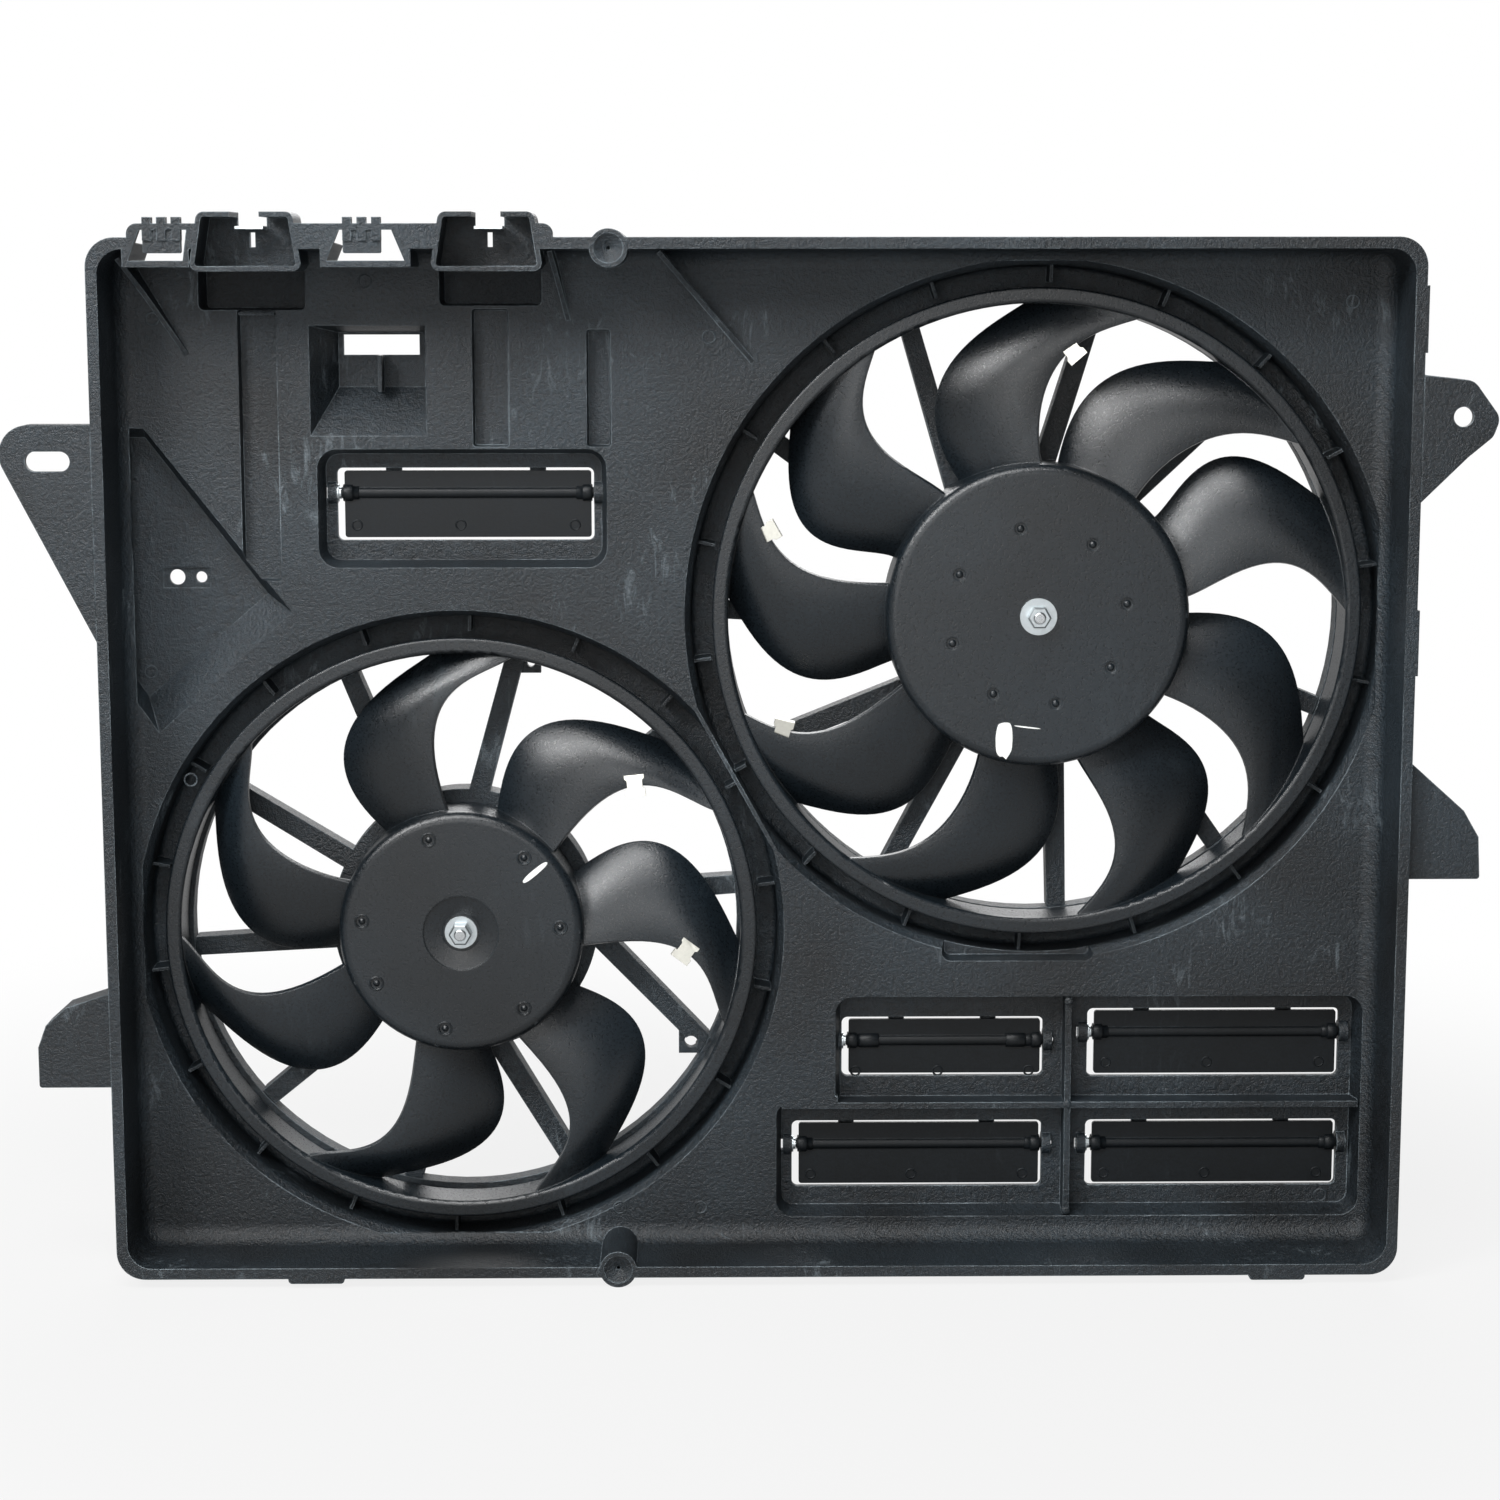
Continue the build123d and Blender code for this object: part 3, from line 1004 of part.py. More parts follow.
# Motors, nuts and screws
for fan in FANS:
    centre = centre_of(fan)
    can_inner = fan.can - CAN_WALL
    magnet_inner = can_inner - MAGNET_THICKNESS
    core = magnet_inner - AIR_GAP
    nut_back = fan.seat - WASHER_THICKNESS
    stud_front = nut_back - NUT_HEIGHT - STUD_PROUD
    magnet_rear = CORE_REAR + OVERCUT

    with BuildPart() as shaft:
        turned(centre, (
            (0, stud_front), (STUD_RADIUS, stud_front),
            (STUD_RADIUS, SHAFT_SHOULDER), (SHAFT_RADIUS, SHAFT_SHOULDER),
            (SHAFT_RADIUS, SHAFT_END), (0, SHAFT_END),
        ), rounded=((1, SHAFT_ROUND), (4, SHAFT_ROUND)))
    export(shaft, fan.name + "_shaft")

    with BuildPart() as nut:
        with BuildSketch(layer(nut_back)) as hexagon:
            with Locations(centre):
                RegularPolygon(NUT_ACROSS_FLATS / 2, 6, major_radius=False)
        extrude(hexagon.sketch, amount=NUT_HEIGHT)
        chamfer(nut.faces().sort_by(Axis.Y)[0].edges(), NUT_CHAMFER)
        if fan is LEFT_FAN:
            discs(nut_back, fan.seat, [centre], NUT_FLANGE_RADIUS)
        discs(0, fan.seat + 1, [centre], STUD_RADIUS + SEAT_CLEARANCE, Mode.SUBTRACT)
    export(nut, fan.name + "_fan_nut")

    with BuildPart() as armature:
        discs(CORE_FRONT, CORE_REAR, [centre], core)
        with BuildSketch(layer(CORE_REAR + 1)) as slots:
            with Locations(centre):
                with PolarLocations(core - SLOT_DEPTH / 2, CORE_SLOTS):
                    Rectangle(SLOT_DEPTH, SLOT_WIDTH)
                with PolarLocations(core, CORE_SLOTS):
                    Rectangle(4, SLOT_MOUTH)
                Circle(SHAFT_RADIUS)
        extrude(slots.sketch, amount=CORE_REAR - CORE_FRONT + 2, mode=Mode.SUBTRACT)
    export(armature, fan.name + "_armature")

    with BuildPart() as windings:
        for front, back in (
            (CORE_FRONT - WINDING_OVERHANG, CORE_FRONT), (CORE_REAR, CORE_REAR + WINDING_OVERHANG),
        ):
            turned(centre, (
                (WINDING_INNER, front), (core - WINDING_INSET, front),
                (core - WINDING_INSET, back), (WINDING_INNER, back),
            ))
        with BuildSketch(layer(CORE_REAR)) as coils:
            with Locations(centre):
                with PolarLocations(core - SLOT_DEPTH / 2 - WINDING_INSET / 2, CORE_SLOTS):
                    Rectangle(SLOT_DEPTH - WINDING_INSET, SLOT_WIDTH)
        extrude(coils.sketch, amount=CORE_REAR - CORE_FRONT)
    export(windings, fan.name + "_windings")

    with BuildPart() as commutator:
        discs(COMMUTATOR_FRONT, COMMUTATOR_FRONT + COMMUTATOR_LENGTH, [centre], COMMUTATOR_RADIUS)
        with BuildSketch(layer(COMMUTATOR_FRONT + COMMUTATOR_LENGTH + 1)) as gaps:
            with Locations(centre):
                with PolarLocations(COMMUTATOR_RADIUS, 2 * CORE_SLOTS):
                    Rectangle(1.6, 0.5)
                Circle(SHAFT_RADIUS)
        extrude(gaps.sketch, amount=COMMUTATOR_LENGTH + 2, mode=Mode.SUBTRACT)
    export(commutator, fan.name + "_commutator")

    with BuildPart() as can:
        turned(centre, (
            (SHAFT_HOLE_RADIUS, BEARING_FRONT - CAN_WALL),
            (BEARING_RADIUS + BEARING_BOSS_WALL, BEARING_FRONT - CAN_WALL),
            (BEARING_RADIUS + BEARING_BOSS_WALL, CAN_FRONT), (fan.can, CAN_FRONT),
            (fan.can, CAN_REAR), (can_inner, CAN_REAR), (can_inner, CAN_FRONT + CAN_WALL),
            (BEARING_RADIUS + BEARING_BOSS_WALL, CAN_FRONT + CAN_WALL),
            (BEARING_RADIUS + BEARING_BOSS_WALL, BEARING_FRONT + BEARING_WIDTH),
            (BEARING_RADIUS, BEARING_FRONT + BEARING_WIDTH), (BEARING_RADIUS, BEARING_FRONT),
            (SHAFT_HOLE_RADIUS, BEARING_FRONT),
        ), rounded=((3, 4.0), (6, 2.0)))
        with BuildSketch(layer(CARRIER_FRONT)) as ears:
            for angle in SCREW_ANGLES:
                with Locations(on_circle(centre, fan.can + SCREW_CIRCLE, angle)):
                    Circle(EAR_REACH - SCREW_CIRCLE)
                with Locations(on_circle(centre, fan.can + SCREW_CIRCLE / 2 - 0.5, angle)):
                    Rectangle(SCREW_CIRCLE + 1, 2 * (EAR_REACH - SCREW_CIRCLE), rotation=angle)
            with Locations(*screw_places(fan)):
                Circle(SCREW_RADIUS + 0.3, mode=Mode.SUBTRACT)
        extrude(ears.sketch, amount=EAR_THICKNESS)
    export(can, fan.name + "_motor_can")

    with BuildPart() as magnets:
        with BuildSketch(layer(magnet_rear)) as arcs:
            with Locations(centre):
                Circle(can_inner)
                Circle(magnet_inner, mode=Mode.SUBTRACT)
                with PolarLocations(can_inner, MAGNETS, start_angle=45):
                    Rectangle(3 * MAGNET_THICKNESS, MAGNET_SPACING, mode=Mode.SUBTRACT)
        extrude(arcs.sketch, amount=magnet_rear - CORE_FRONT + OVERCUT)
    export(magnets, fan.name + "_magnets")

    for label, front in (("_front_bearing", BEARING_FRONT), ("_rear_bearing", REAR_BEARING_FRONT)):
        with BuildPart() as bearing:
            bore = SHAFT_RADIUS + BEARING_CLEARANCE
            back = front + BEARING_WIDTH
            front_seal = front + BEARING_SEAL_INSET
            back_seal = back - BEARING_SEAL_INSET
            turned(centre, (
                (bore, front), (BEARING_INNER_RACE, front), (BEARING_INNER_RACE, front_seal),
                (BEARING_OUTER_RACE, front_seal), (BEARING_OUTER_RACE, front),
                (BEARING_RADIUS, front), (BEARING_RADIUS, back), (BEARING_OUTER_RACE, back),
                (BEARING_OUTER_RACE, back_seal), (BEARING_INNER_RACE, back_seal),
                (BEARING_INNER_RACE, back), (bore, back),
            ))
        export(bearing, fan.name + label)

    with BuildPart() as brush_card:
        discs(CARD_FRONT, CARD_FRONT + CARD_THICKNESS, [centre], can_inner - 0.5)
        discs(CARD_FRONT - 1, CARD_FRONT + CARD_THICKNESS + 1, [centre],
              COMMUTATOR_RADIUS + 1.5, Mode.SUBTRACT)
        for side in (-1, 1):
            for rail in (-1, 1):
                rail_x = centre[0] + side * (COMMUTATOR_RADIUS + 8)
                rail_z = centre[1] + rail * (BRUSH_SIZE / 2 + 1)
                slab(CARD_FRONT - BRUSH_SIZE, CARD_FRONT, (
                    rail_x - 6, rail_z - 1, rail_x + 6, rail_z + 1))
    export(brush_card, fan.name + "_brush_card")

    with BuildPart() as brushes:
        for side in (-1, 1):
            brush_x = centre[0] + side * (COMMUTATOR_RADIUS + BRUSH_GAP + BRUSH_LENGTH / 2)
            slab(CARD_FRONT - BRUSH_SIZE, CARD_FRONT, (
                brush_x - BRUSH_LENGTH / 2, centre[1] - BRUSH_SIZE / 2,
                brush_x + BRUSH_LENGTH / 2, centre[1] + BRUSH_SIZE / 2))
    export(brushes, fan.name + "_brushes")

    with BuildPart() as end_cap:
        turned(centre, (
            (0, OVERALL_DEPTH), (BEARING_RADIUS + BEARING_BOSS_WALL, OVERALL_DEPTH),
            (BEARING_RADIUS + BEARING_BOSS_WALL, CAN_REAR + CAP_THICKNESS),
            (fan.can, CAN_REAR + CAP_THICKNESS), (fan.can, CAN_REAR), (can_inner - 0.1, CAN_REAR),
            (can_inner - 0.1, CARD_FRONT + CARD_THICKNESS),
            (can_inner - 4, CARD_FRONT + CARD_THICKNESS), (can_inner - 4, CAN_REAR),
            (BEARING_RADIUS, CAN_REAR), (BEARING_RADIUS, REAR_BEARING_FRONT + BEARING_WIDTH),
            (0, REAR_BEARING_FRONT + BEARING_WIDTH),
        ), rounded=((1, 1.5), (3, 1.5)))
        socket_x, socket_z = centre[0], centre[1] + fan.can
        slab(SOCKET_MIDDLE - SOCKET_BLOCK_DEPTH / 2, SOCKET_MIDDLE + SOCKET_BLOCK_DEPTH / 2, (
            socket_x - SOCKET_WIDTH / 2, socket_z - SOCKET_LENGTH / 2,
            socket_x + SOCKET_WIDTH / 2, socket_z + SOCKET_LENGTH / 2), SOCKET_WALL)
        slab(SOCKET_MIDDLE - SOCKET_HEIGHT / 2, SOCKET_MIDDLE + SOCKET_HEIGHT / 2, (
            socket_x - SOCKET_WIDTH / 2 + SOCKET_WALL, socket_z - SOCKET_LENGTH / 2 + SOCKET_BACK,
            socket_x + SOCKET_WIDTH / 2 - SOCKET_WALL, socket_z + SOCKET_LENGTH / 2 + OVERCUT,
        ), mode=Mode.SUBTRACT)
    export(end_cap, fan.name + "_end_cap")

    with BuildPart() as terminals:
        for side in (-1, 1):
            blade_x = centre[0] + side * TERMINAL_SPACING / 2
            slab(SOCKET_MIDDLE - TERMINAL_THICKNESS / 2, SOCKET_MIDDLE + TERMINAL_THICKNESS / 2, (
                blade_x - TERMINAL_WIDTH / 2, centre[1] + fan.can - SOCKET_LENGTH / 2 + SOCKET_BACK,
                blade_x + TERMINAL_WIDTH / 2, centre[1] + fan.can + SOCKET_LENGTH / 2 - 3))
    export(terminals, fan.name + "_terminals")

    with BuildPart() as screws:
        ear_front = CARRIER_FRONT - EAR_THICKNESS
        discs(ear_front - SCREW_HEAD_HEIGHT, ear_front, screw_places(fan), SCREW_HEAD_RADIUS)
        discs(ear_front, ear_front + SCREW_LENGTH, screw_places(fan), SCREW_RADIUS - SEAT_CLEARANCE)
        with BuildSketch(layer(ear_front - SCREW_HEAD_HEIGHT + 2)) as sockets:
            with Locations(*screw_places(fan)):
                RegularPolygon(2.0, 6, major_radius=False)
        extrude(sockets.sketch, amount=3, mode=Mode.SUBTRACT)
    export(screws, fan.name + "_motor_screws")

with BuildPart() as washer:
    discs(RIGHT_FAN.seat - WASHER_THICKNESS, RIGHT_FAN.seat, [centre_of(RIGHT_FAN)], WASHER_RADIUS)
    discs(0, OVERALL_DEPTH, [centre_of(RIGHT_FAN)], STUD_RADIUS + 0.2, Mode.SUBTRACT)
export(washer, "right_fan_washer")

# Ram-air flaps and the bushes of their left pins
for name, edges in WINDOWS.items():
    hinge = edges[3] - FLAP_TOP_LEAF
    barrel_left = edges[0] + BUSH_PROUD + AXIAL_PLAY
    barrel_right = edges[2] - AXIAL_PLAY
    with BuildPart() as flap:
        slab(HINGE_DEPTH - FLAP_THICKNESS / 2, HINGE_DEPTH + FLAP_THICKNESS / 2, (
            edges[0] + FLAP_LEFT_GAP, edges[1] + FLAP_GAP,
            edges[2] - FLAP_GAP, edges[3] - FLAP_GAP), FLAP_CORNER)
        rod(across(barrel_left, edges), FLAP_BARREL_RADIUS, barrel_right - barrel_left)
        rod(across(edges[0] - EYE_LENGTH + PIN_INSET, edges), FLAP_PIN_RADIUS,
            edges[2] - edges[0] + 2 * (EYE_LENGTH - PIN_INSET))
        for share in FLAP_RIB_SHARES:
            middle = edges[0] + share * (edges[2] - edges[0])
            slab(HINGE_DEPTH, HINGE_DEPTH + FLAP_THICKNESS / 2 + FLAP_RIB, (
                middle - FLAP_RIB / 2, edges[1] + FLAP_GAP + 2, middle + FLAP_RIB / 2, hinge))
    export(flap, name)

with BuildPart() as bushes:
    for edges in WINDOWS.values():
        rod(across(edges[0] - EYE_LENGTH, edges), BUSH_RADIUS, EYE_LENGTH + BUSH_PROUD)
        rod(across(edges[0], edges), BUSH_COLLAR_RADIUS, BUSH_COLLAR)
        rod(across(edges[0] - EYE_LENGTH - OVERCUT, edges), FLAP_PIN_RADIUS + PIN_CLEARANCE,
            EYE_LENGTH + BUSH_PROUD + 2 * OVERCUT, Mode.SUBTRACT)
export(bushes, "flap_bushes")

# Sheet-metal clip nuts in the pockets
with BuildPart() as clip_nuts:
    for x in POCKET_CENTRES:
        left = x - NOTCH_WIDTH / 2 + CLIP_NUT_PLAY
        right = x + NOTCH_WIDTH / 2 - CLIP_NUT_PLAY
        notch_floor = POCKET_TOP - NOTCH_DEPTH
        slab(CLIP_NUT_FRONT, POCKET_DEPTH + NUT_SHEET, (
            left, notch_floor, right, notch_floor + NUT_SHEET))
        slab(POCKET_DEPTH, POCKET_DEPTH + NUT_SHEET, (
            left, notch_floor - CLIP_NUT_DROP, right, notch_floor + NUT_SHEET))
        slab(POCKET_DEPTH - OVERCUT, POCKET_DEPTH + NUT_SHEET + OVERCUT, slit_edges(x),
             mode=Mode.SUBTRACT)
        with BuildSketch(Plane.XY.offset(notch_floor - OVERCUT)) as thread:
            with Locations((x, FLANGE_Y + CLIP_NUT_FRONT + CLIP_NUT_THREAD_INSET)):
                Circle(CLIP_NUT_THREAD_RADIUS)
        extrude(thread.sketch, amount=NUT_SHEET + 2 * OVERCUT, mode=Mode.SUBTRACT)
export(clip_nuts, "clip_nuts")
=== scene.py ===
import math

import bmesh
import bpy
from mathutils import Matrix, Vector
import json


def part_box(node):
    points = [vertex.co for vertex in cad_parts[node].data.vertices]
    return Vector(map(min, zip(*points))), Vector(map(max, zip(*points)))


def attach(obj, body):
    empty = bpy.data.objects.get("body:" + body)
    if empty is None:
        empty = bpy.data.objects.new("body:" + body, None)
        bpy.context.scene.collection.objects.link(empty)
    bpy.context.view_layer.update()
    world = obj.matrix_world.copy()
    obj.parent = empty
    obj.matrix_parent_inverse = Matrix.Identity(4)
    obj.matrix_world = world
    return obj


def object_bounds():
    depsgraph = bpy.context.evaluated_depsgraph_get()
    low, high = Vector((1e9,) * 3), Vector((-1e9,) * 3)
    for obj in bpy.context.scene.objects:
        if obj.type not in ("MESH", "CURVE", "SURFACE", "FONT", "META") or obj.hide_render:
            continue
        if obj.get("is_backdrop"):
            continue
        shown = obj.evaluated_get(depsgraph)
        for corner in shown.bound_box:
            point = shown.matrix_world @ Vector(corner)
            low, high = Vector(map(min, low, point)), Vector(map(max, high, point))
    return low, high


# Radiator cooling fan: black moulded shroud with two ring fans, seen from the radiator side.
# Lengths are in metres in the row frame. +Y runs through the fans towards the engine.

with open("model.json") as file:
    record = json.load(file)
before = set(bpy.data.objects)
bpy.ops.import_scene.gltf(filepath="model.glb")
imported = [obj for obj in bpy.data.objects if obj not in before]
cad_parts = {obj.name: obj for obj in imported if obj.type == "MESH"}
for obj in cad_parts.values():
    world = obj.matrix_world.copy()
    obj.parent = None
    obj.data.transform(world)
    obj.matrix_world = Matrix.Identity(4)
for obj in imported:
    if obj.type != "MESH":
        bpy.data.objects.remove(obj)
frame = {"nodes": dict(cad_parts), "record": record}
bounds = {"loaded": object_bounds()}
joint_place = {j["name"]: Vector(j["pos_m"]) for j in frame["record"]["behaviour"]["joints"]}
slot_of = {p["node"]: p["material_slot"] for p in frame["record"]["subparts"]}

MM = 0.001
TRAY_DEPTH = 42 * MM
FLOOR_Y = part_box("shroud")[0].y + TRAY_DEPTH


# Materials

def linear(colour):
    """sRGB hex colour as linear RGBA."""
    parts = [int(colour[i:i + 2], 16) / 255 for i in (1, 3, 5)]
    return [c / 12.92 if c <= 0.04045 else ((c + 0.055) / 1.055) ** 2.4 for c in parts] + [1.0]


def per_mm(size):
    """Texture scale that gives features of a size in millimetres."""
    return 1.0 / (size * MM)


def node(tree, kind, settings=None, **inputs):
    """Adds a node. Settings are its properties; inputs are values or other nodes' sockets."""
    made = tree.nodes.new(kind)
    for name, value in (settings or {}).items():
        setattr(made, name, value)
    for name, value in inputs.items():
        numbered = name[0] == "i" and name[1:].isdigit()
        socket = made.inputs[int(name[1:]) if numbered else name.replace("_", " ")]
        if isinstance(value, bpy.types.NodeSocket):
            tree.links.new(value, socket)
        else:
            socket.default_value = value
    return made


def new_material(name):
    made = bpy.data.materials.new(name)
    made.use_nodes = True
    tree = made.node_tree
    return made, tree, tree.nodes["Principled BSDF"]


def moulded_plastic(name, dark, light, worn_and_edge_highlight, roughness, grain, grain_height, scuff, specular=0.5):
    """Moulded plastic: a tone that drifts with the melt's flow, a fine speckle, a spark-eroded
    grain whose size is in millimetres, edges rounded by the mould and rubbed pale in places, and
    a pale colour along the edges that is partly wear and partly a painted highlight."""
    made, tree, shader = new_material(name)
    place = node(tree, "ShaderNodeNewGeometry").outputs["Position"]
    drift = node(tree, "ShaderNodeTexNoise", Vector=place, Scale=per_mm(110), Detail=4.0)
    speckle = node(tree, "ShaderNodeTexNoise", Vector=place, Scale=per_mm(grain), Detail=3.0,
                   Roughness=0.8)
    tone = node(tree, "ShaderNodeMath", {"operation": "MULTIPLY"}, i0=drift.outputs["Fac"],
                i1=speckle.outputs["Fac"])
    tone = node(tree, "ShaderNodeMapRange", Value=tone.outputs[0], From_Min=0.15, From_Max=0.37)
    base = node(tree, "ShaderNodeMix", {"data_type": "RGBA"}, i0=tone.outputs[0],
                i6=linear(dark), i7=linear(light))

    # Rubbed places: long scratches everywhere, and more pale colour along the edges, which is
    # partly rubbed wear and partly a painted highlight
    stretched = node(tree, "ShaderNodeMapping", Vector=place, Scale=(1.0, 1.0, 0.3),
                     Rotation=(0.0, 0.6, 0.0))
    rub = node(tree, "ShaderNodeTexNoise", Vector=stretched.outputs[0], Scale=per_mm(7),
               Detail=8.0, Roughness=0.75, Distortion=1.2)
    patch = node(tree, "ShaderNodeTexNoise", Vector=place, Scale=per_mm(60), Detail=2.0)
    rub = node(tree, "ShaderNodeMath", {"operation": "MULTIPLY"}, i0=rub.outputs["Fac"],
               i1=patch.outputs["Fac"])
    edge_normal = node(tree, "ShaderNodeBevel", {"samples": 4}, Radius=0.9 * MM)
    facet = node(tree, "ShaderNodeNewGeometry")
    turn = node(tree, "ShaderNodeVectorMath", {"operation": "DOT_PRODUCT"},
                i0=edge_normal.outputs[0], i1=facet.outputs["Normal"])
    edge = node(tree, "ShaderNodeMapRange", Value=turn.outputs["Value"], From_Min=0.99,
                From_Max=0.80)
    rub_flat = node(tree, "ShaderNodeMapRange", Value=rub.outputs[0], From_Min=0.34,
                    From_Max=0.46, To_Max=scuff)
    # Painted highlight: along every edge the pale worn colour stands partly for light catching
    # the rounded edge, partly for rubbed wear
    edge_wear_and_highlight = node(tree, "ShaderNodeMapRange", Value=rub.outputs[0], From_Min=0.18,
                    From_Max=0.32, To_Max=min(1.0, 2.5 * scuff))
    edge_wear_and_highlight = node(tree, "ShaderNodeMath", {"operation": "MULTIPLY"}, i0=edge_wear_and_highlight.outputs[0],
                    i1=edge.outputs[0])
    wear_and_highlight_share = node(tree, "ShaderNodeMath", {"operation": "MAXIMUM"}, i0=rub_flat.outputs[0],
                      i1=edge_wear_and_highlight.outputs[0])
    # The pale colour is real scuffing on flat places, and along the edges it is partly a painted
    # highlight
    colour = node(tree, "ShaderNodeMix", {"data_type": "RGBA"}, i0=wear_and_highlight_share.outputs[0],
                  i6=base.outputs[2], i7=linear(worn_and_edge_highlight))
    tree.links.new(colour.outputs[2], shader.inputs["Base Color"])
    rough = node(tree, "ShaderNodeMapRange", Value=speckle.outputs["Fac"], From_Min=0.3,
                 From_Max=0.7, To_Min=roughness - 0.05, To_Max=roughness + 0.07)
    tree.links.new(rough.outputs[0], shader.inputs["Roughness"])
    bump = node(tree, "ShaderNodeBump", Strength=1.0, Distance=grain_height * MM,
                Height=speckle.outputs["Fac"], Normal=edge_normal.outputs[0])
    tree.links.new(bump.outputs[0], shader.inputs["Normal"])
    shader.inputs["IOR"].default_value = 1.5
    shader.inputs["Specular IOR Level"].default_value = specular
    return made


def bare_metal(name, colour, roughness, marks_size):
    """Metal with fine uneven polish and edges just broken."""
    made, tree, shader = new_material(name)
    shader.inputs["Metallic"].default_value = 1.0
    place = node(tree, "ShaderNodeNewGeometry").outputs["Position"]
    marks = node(tree, "ShaderNodeTexNoise", Vector=place, Scale=per_mm(marks_size), Detail=4.0)
    stain = node(tree, "ShaderNodeMapRange", Value=marks.outputs["Fac"], From_Min=0.3,
                 From_Max=0.8, To_Max=0.35)
    shade = [c * 0.6 for c in linear(colour)[:3]] + [1.0]
    tint = node(tree, "ShaderNodeMix", {"data_type": "RGBA"}, i0=stain.outputs[0],
                i6=linear(colour), i7=shade)
    tree.links.new(tint.outputs[2], shader.inputs["Base Color"])
    rough = node(tree, "ShaderNodeMapRange", Value=marks.outputs["Fac"],
                 To_Min=roughness - 0.08, To_Max=roughness + 0.12)
    tree.links.new(rough.outputs[0], shader.inputs["Roughness"])
    edge_normal = node(tree, "ShaderNodeBevel", {"samples": 4}, Radius=0.25 * MM)
    tree.links.new(edge_normal.outputs[0], shader.inputs["Normal"])
    return made


def brushed_paint(name, colour):
    """Thick marking paint: chalky white with brush drag."""
    made, tree, shader = new_material(name)
    place = node(tree, "ShaderNodeNewGeometry").outputs["Position"]
    drag = node(tree, "ShaderNodeTexNoise", Vector=place, Scale=per_mm(1.2), Detail=4.0)
    thin = node(tree, "ShaderNodeMapRange", Value=drag.outputs["Fac"], From_Min=0.55,
                From_Max=0.8, To_Max=0.4)
    tint = node(tree, "ShaderNodeMix", {"data_type": "RGBA"}, i0=thin.outputs[0],
                i6=linear(colour), i7=linear("#b9bdbd"))
    tree.links.new(tint.outputs[2], shader.inputs["Base Color"])
    bump = node(tree, "ShaderNodeBump", Strength=0.6, Distance=0.08 * MM,
                Height=drag.outputs["Fac"])
    tree.links.new(bump.outputs[0], shader.inputs["Normal"])
    shader.inputs["Roughness"].default_value = 0.62
    return made


# The grain of spark-eroded moulds is about 0.3 mm across. It is drawn at 1 to 2 mm, so that
# it shows in a picture of the whole part.
MATERIALS = {
    # Glass fibres near the skin make the big moulding matt and a little blue-grey
    "shroud_plastic": moulded_plastic(
        "moulded_glass_filled_nylon", "#0a0e11", "#252f36", "#87939a", 0.45, 2.0, 1.00, 0.40),
    # A smoother mould gives the fans a satin sheen
    "fan_plastic": moulded_plastic(
        "moulded_satin_nylon_fan", "#0b0f12", "#182026", "#525c62", 0.29, 1.2, 0.16, 0.14),
    # Thin flaps from a polished mould are the darkest, with little shine at a low angle
    "flap_plastic": moulded_plastic(
        "moulded_satin_nylon_flap", "#090c0e", "#12171b", "#454d52", 0.42, 1.3, 0.08, 0.15, 0.25),
    "cap_plastic": moulded_plastic(
        "moulded_nylon_end_cap", "#1a1c1d", "#282a2b", "#5c6265", 0.48, 1.2, 0.10, 0.10),
    "card_plastic": moulded_plastic(
        "pressed_phenolic_brush_card", "#54402b", "#6e5639", "#8d7454", 0.55, 1.2, 0.08, 0.10),
    "brush_carbon": moulded_plastic(
        "pressed_carbon_brush", "#1d1d1e", "#2c2c2d", "#4a4a4b", 0.60, 1.0, 0.10, 0.10),
    "magnet_ferrite": moulded_plastic(
        "sintered_ferrite_magnet", "#2a2a2c", "#39393b", "#58585a", 0.60, 1.0, 0.10, 0.15),
    # Electrocoat flows over the drawn steel as a thin, even, slightly glossy skin
    "can_steel": moulded_plastic(
        "electrocoated_drawn_steel_can", "#131415", "#1d1f20", "#6a6d6f", 0.32, 1.6, 0.05, 0.12),
    # Zinc plate is bright and cool, a little milky where the dye passivates it
    "zinc_steel": bare_metal("bright_zinc_plated_steel", "#c3cacd", 0.32, 2.2),
    "spring_steel": bare_metal("rolled_spring_steel_strip", "#dcdbd2", 0.34, 2.0),
    "shaft_steel": bare_metal("ground_steel_shaft", "#c6c9cb", 0.22, 2.0),
    "bearing_steel": bare_metal("polished_bearing_steel", "#d2d5d7", 0.15, 4.0),
    "core_steel": bare_metal("stacked_lamination_steel", "#8b8c8e", 0.45, 0.6),
    "winding_copper": bare_metal("enamelled_copper_wire", "#b8672f", 0.35, 1.0),
    "commutator_copper": bare_metal("turned_copper_bars", "#c98257", 0.28, 1.5),
    "terminal_brass": bare_metal("stamped_brass_terminals", "#d9c07a", 0.30, 2.0),
}
MARKING_PAINT = brushed_paint("brushed_marking_paint", "#f1f3f1")

for name, made in frame["nodes"].items():
    made.data.materials.clear()
    made.data.materials.append(MATERIALS[slot_of[name]])


# Small forms of the mouldings and marks on them

def place_piece(name, built, body, material, smooth=True):
    """Turns a bmesh into a piece that rides on a body."""
    bmesh.ops.remove_doubles(built, verts=built.verts, dist=1e-6)
    bmesh.ops.recalc_face_normals(built, faces=built.faces)
    mesh = bpy.data.meshes.new(name)
    built.to_mesh(mesh)
    built.free()
    for face in mesh.polygons:
        face.use_smooth = smooth
    piece = bpy.data.objects.new(name, mesh)
    bpy.context.scene.collection.objects.link(piece)
    mesh.materials.append(material)
    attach(piece, body)
    return piece


TO_RADIATOR = Vector((0, -1, 0))
TO_RIGHT = Vector((1, 0, 0))
TURNED_SEGMENTS = 28


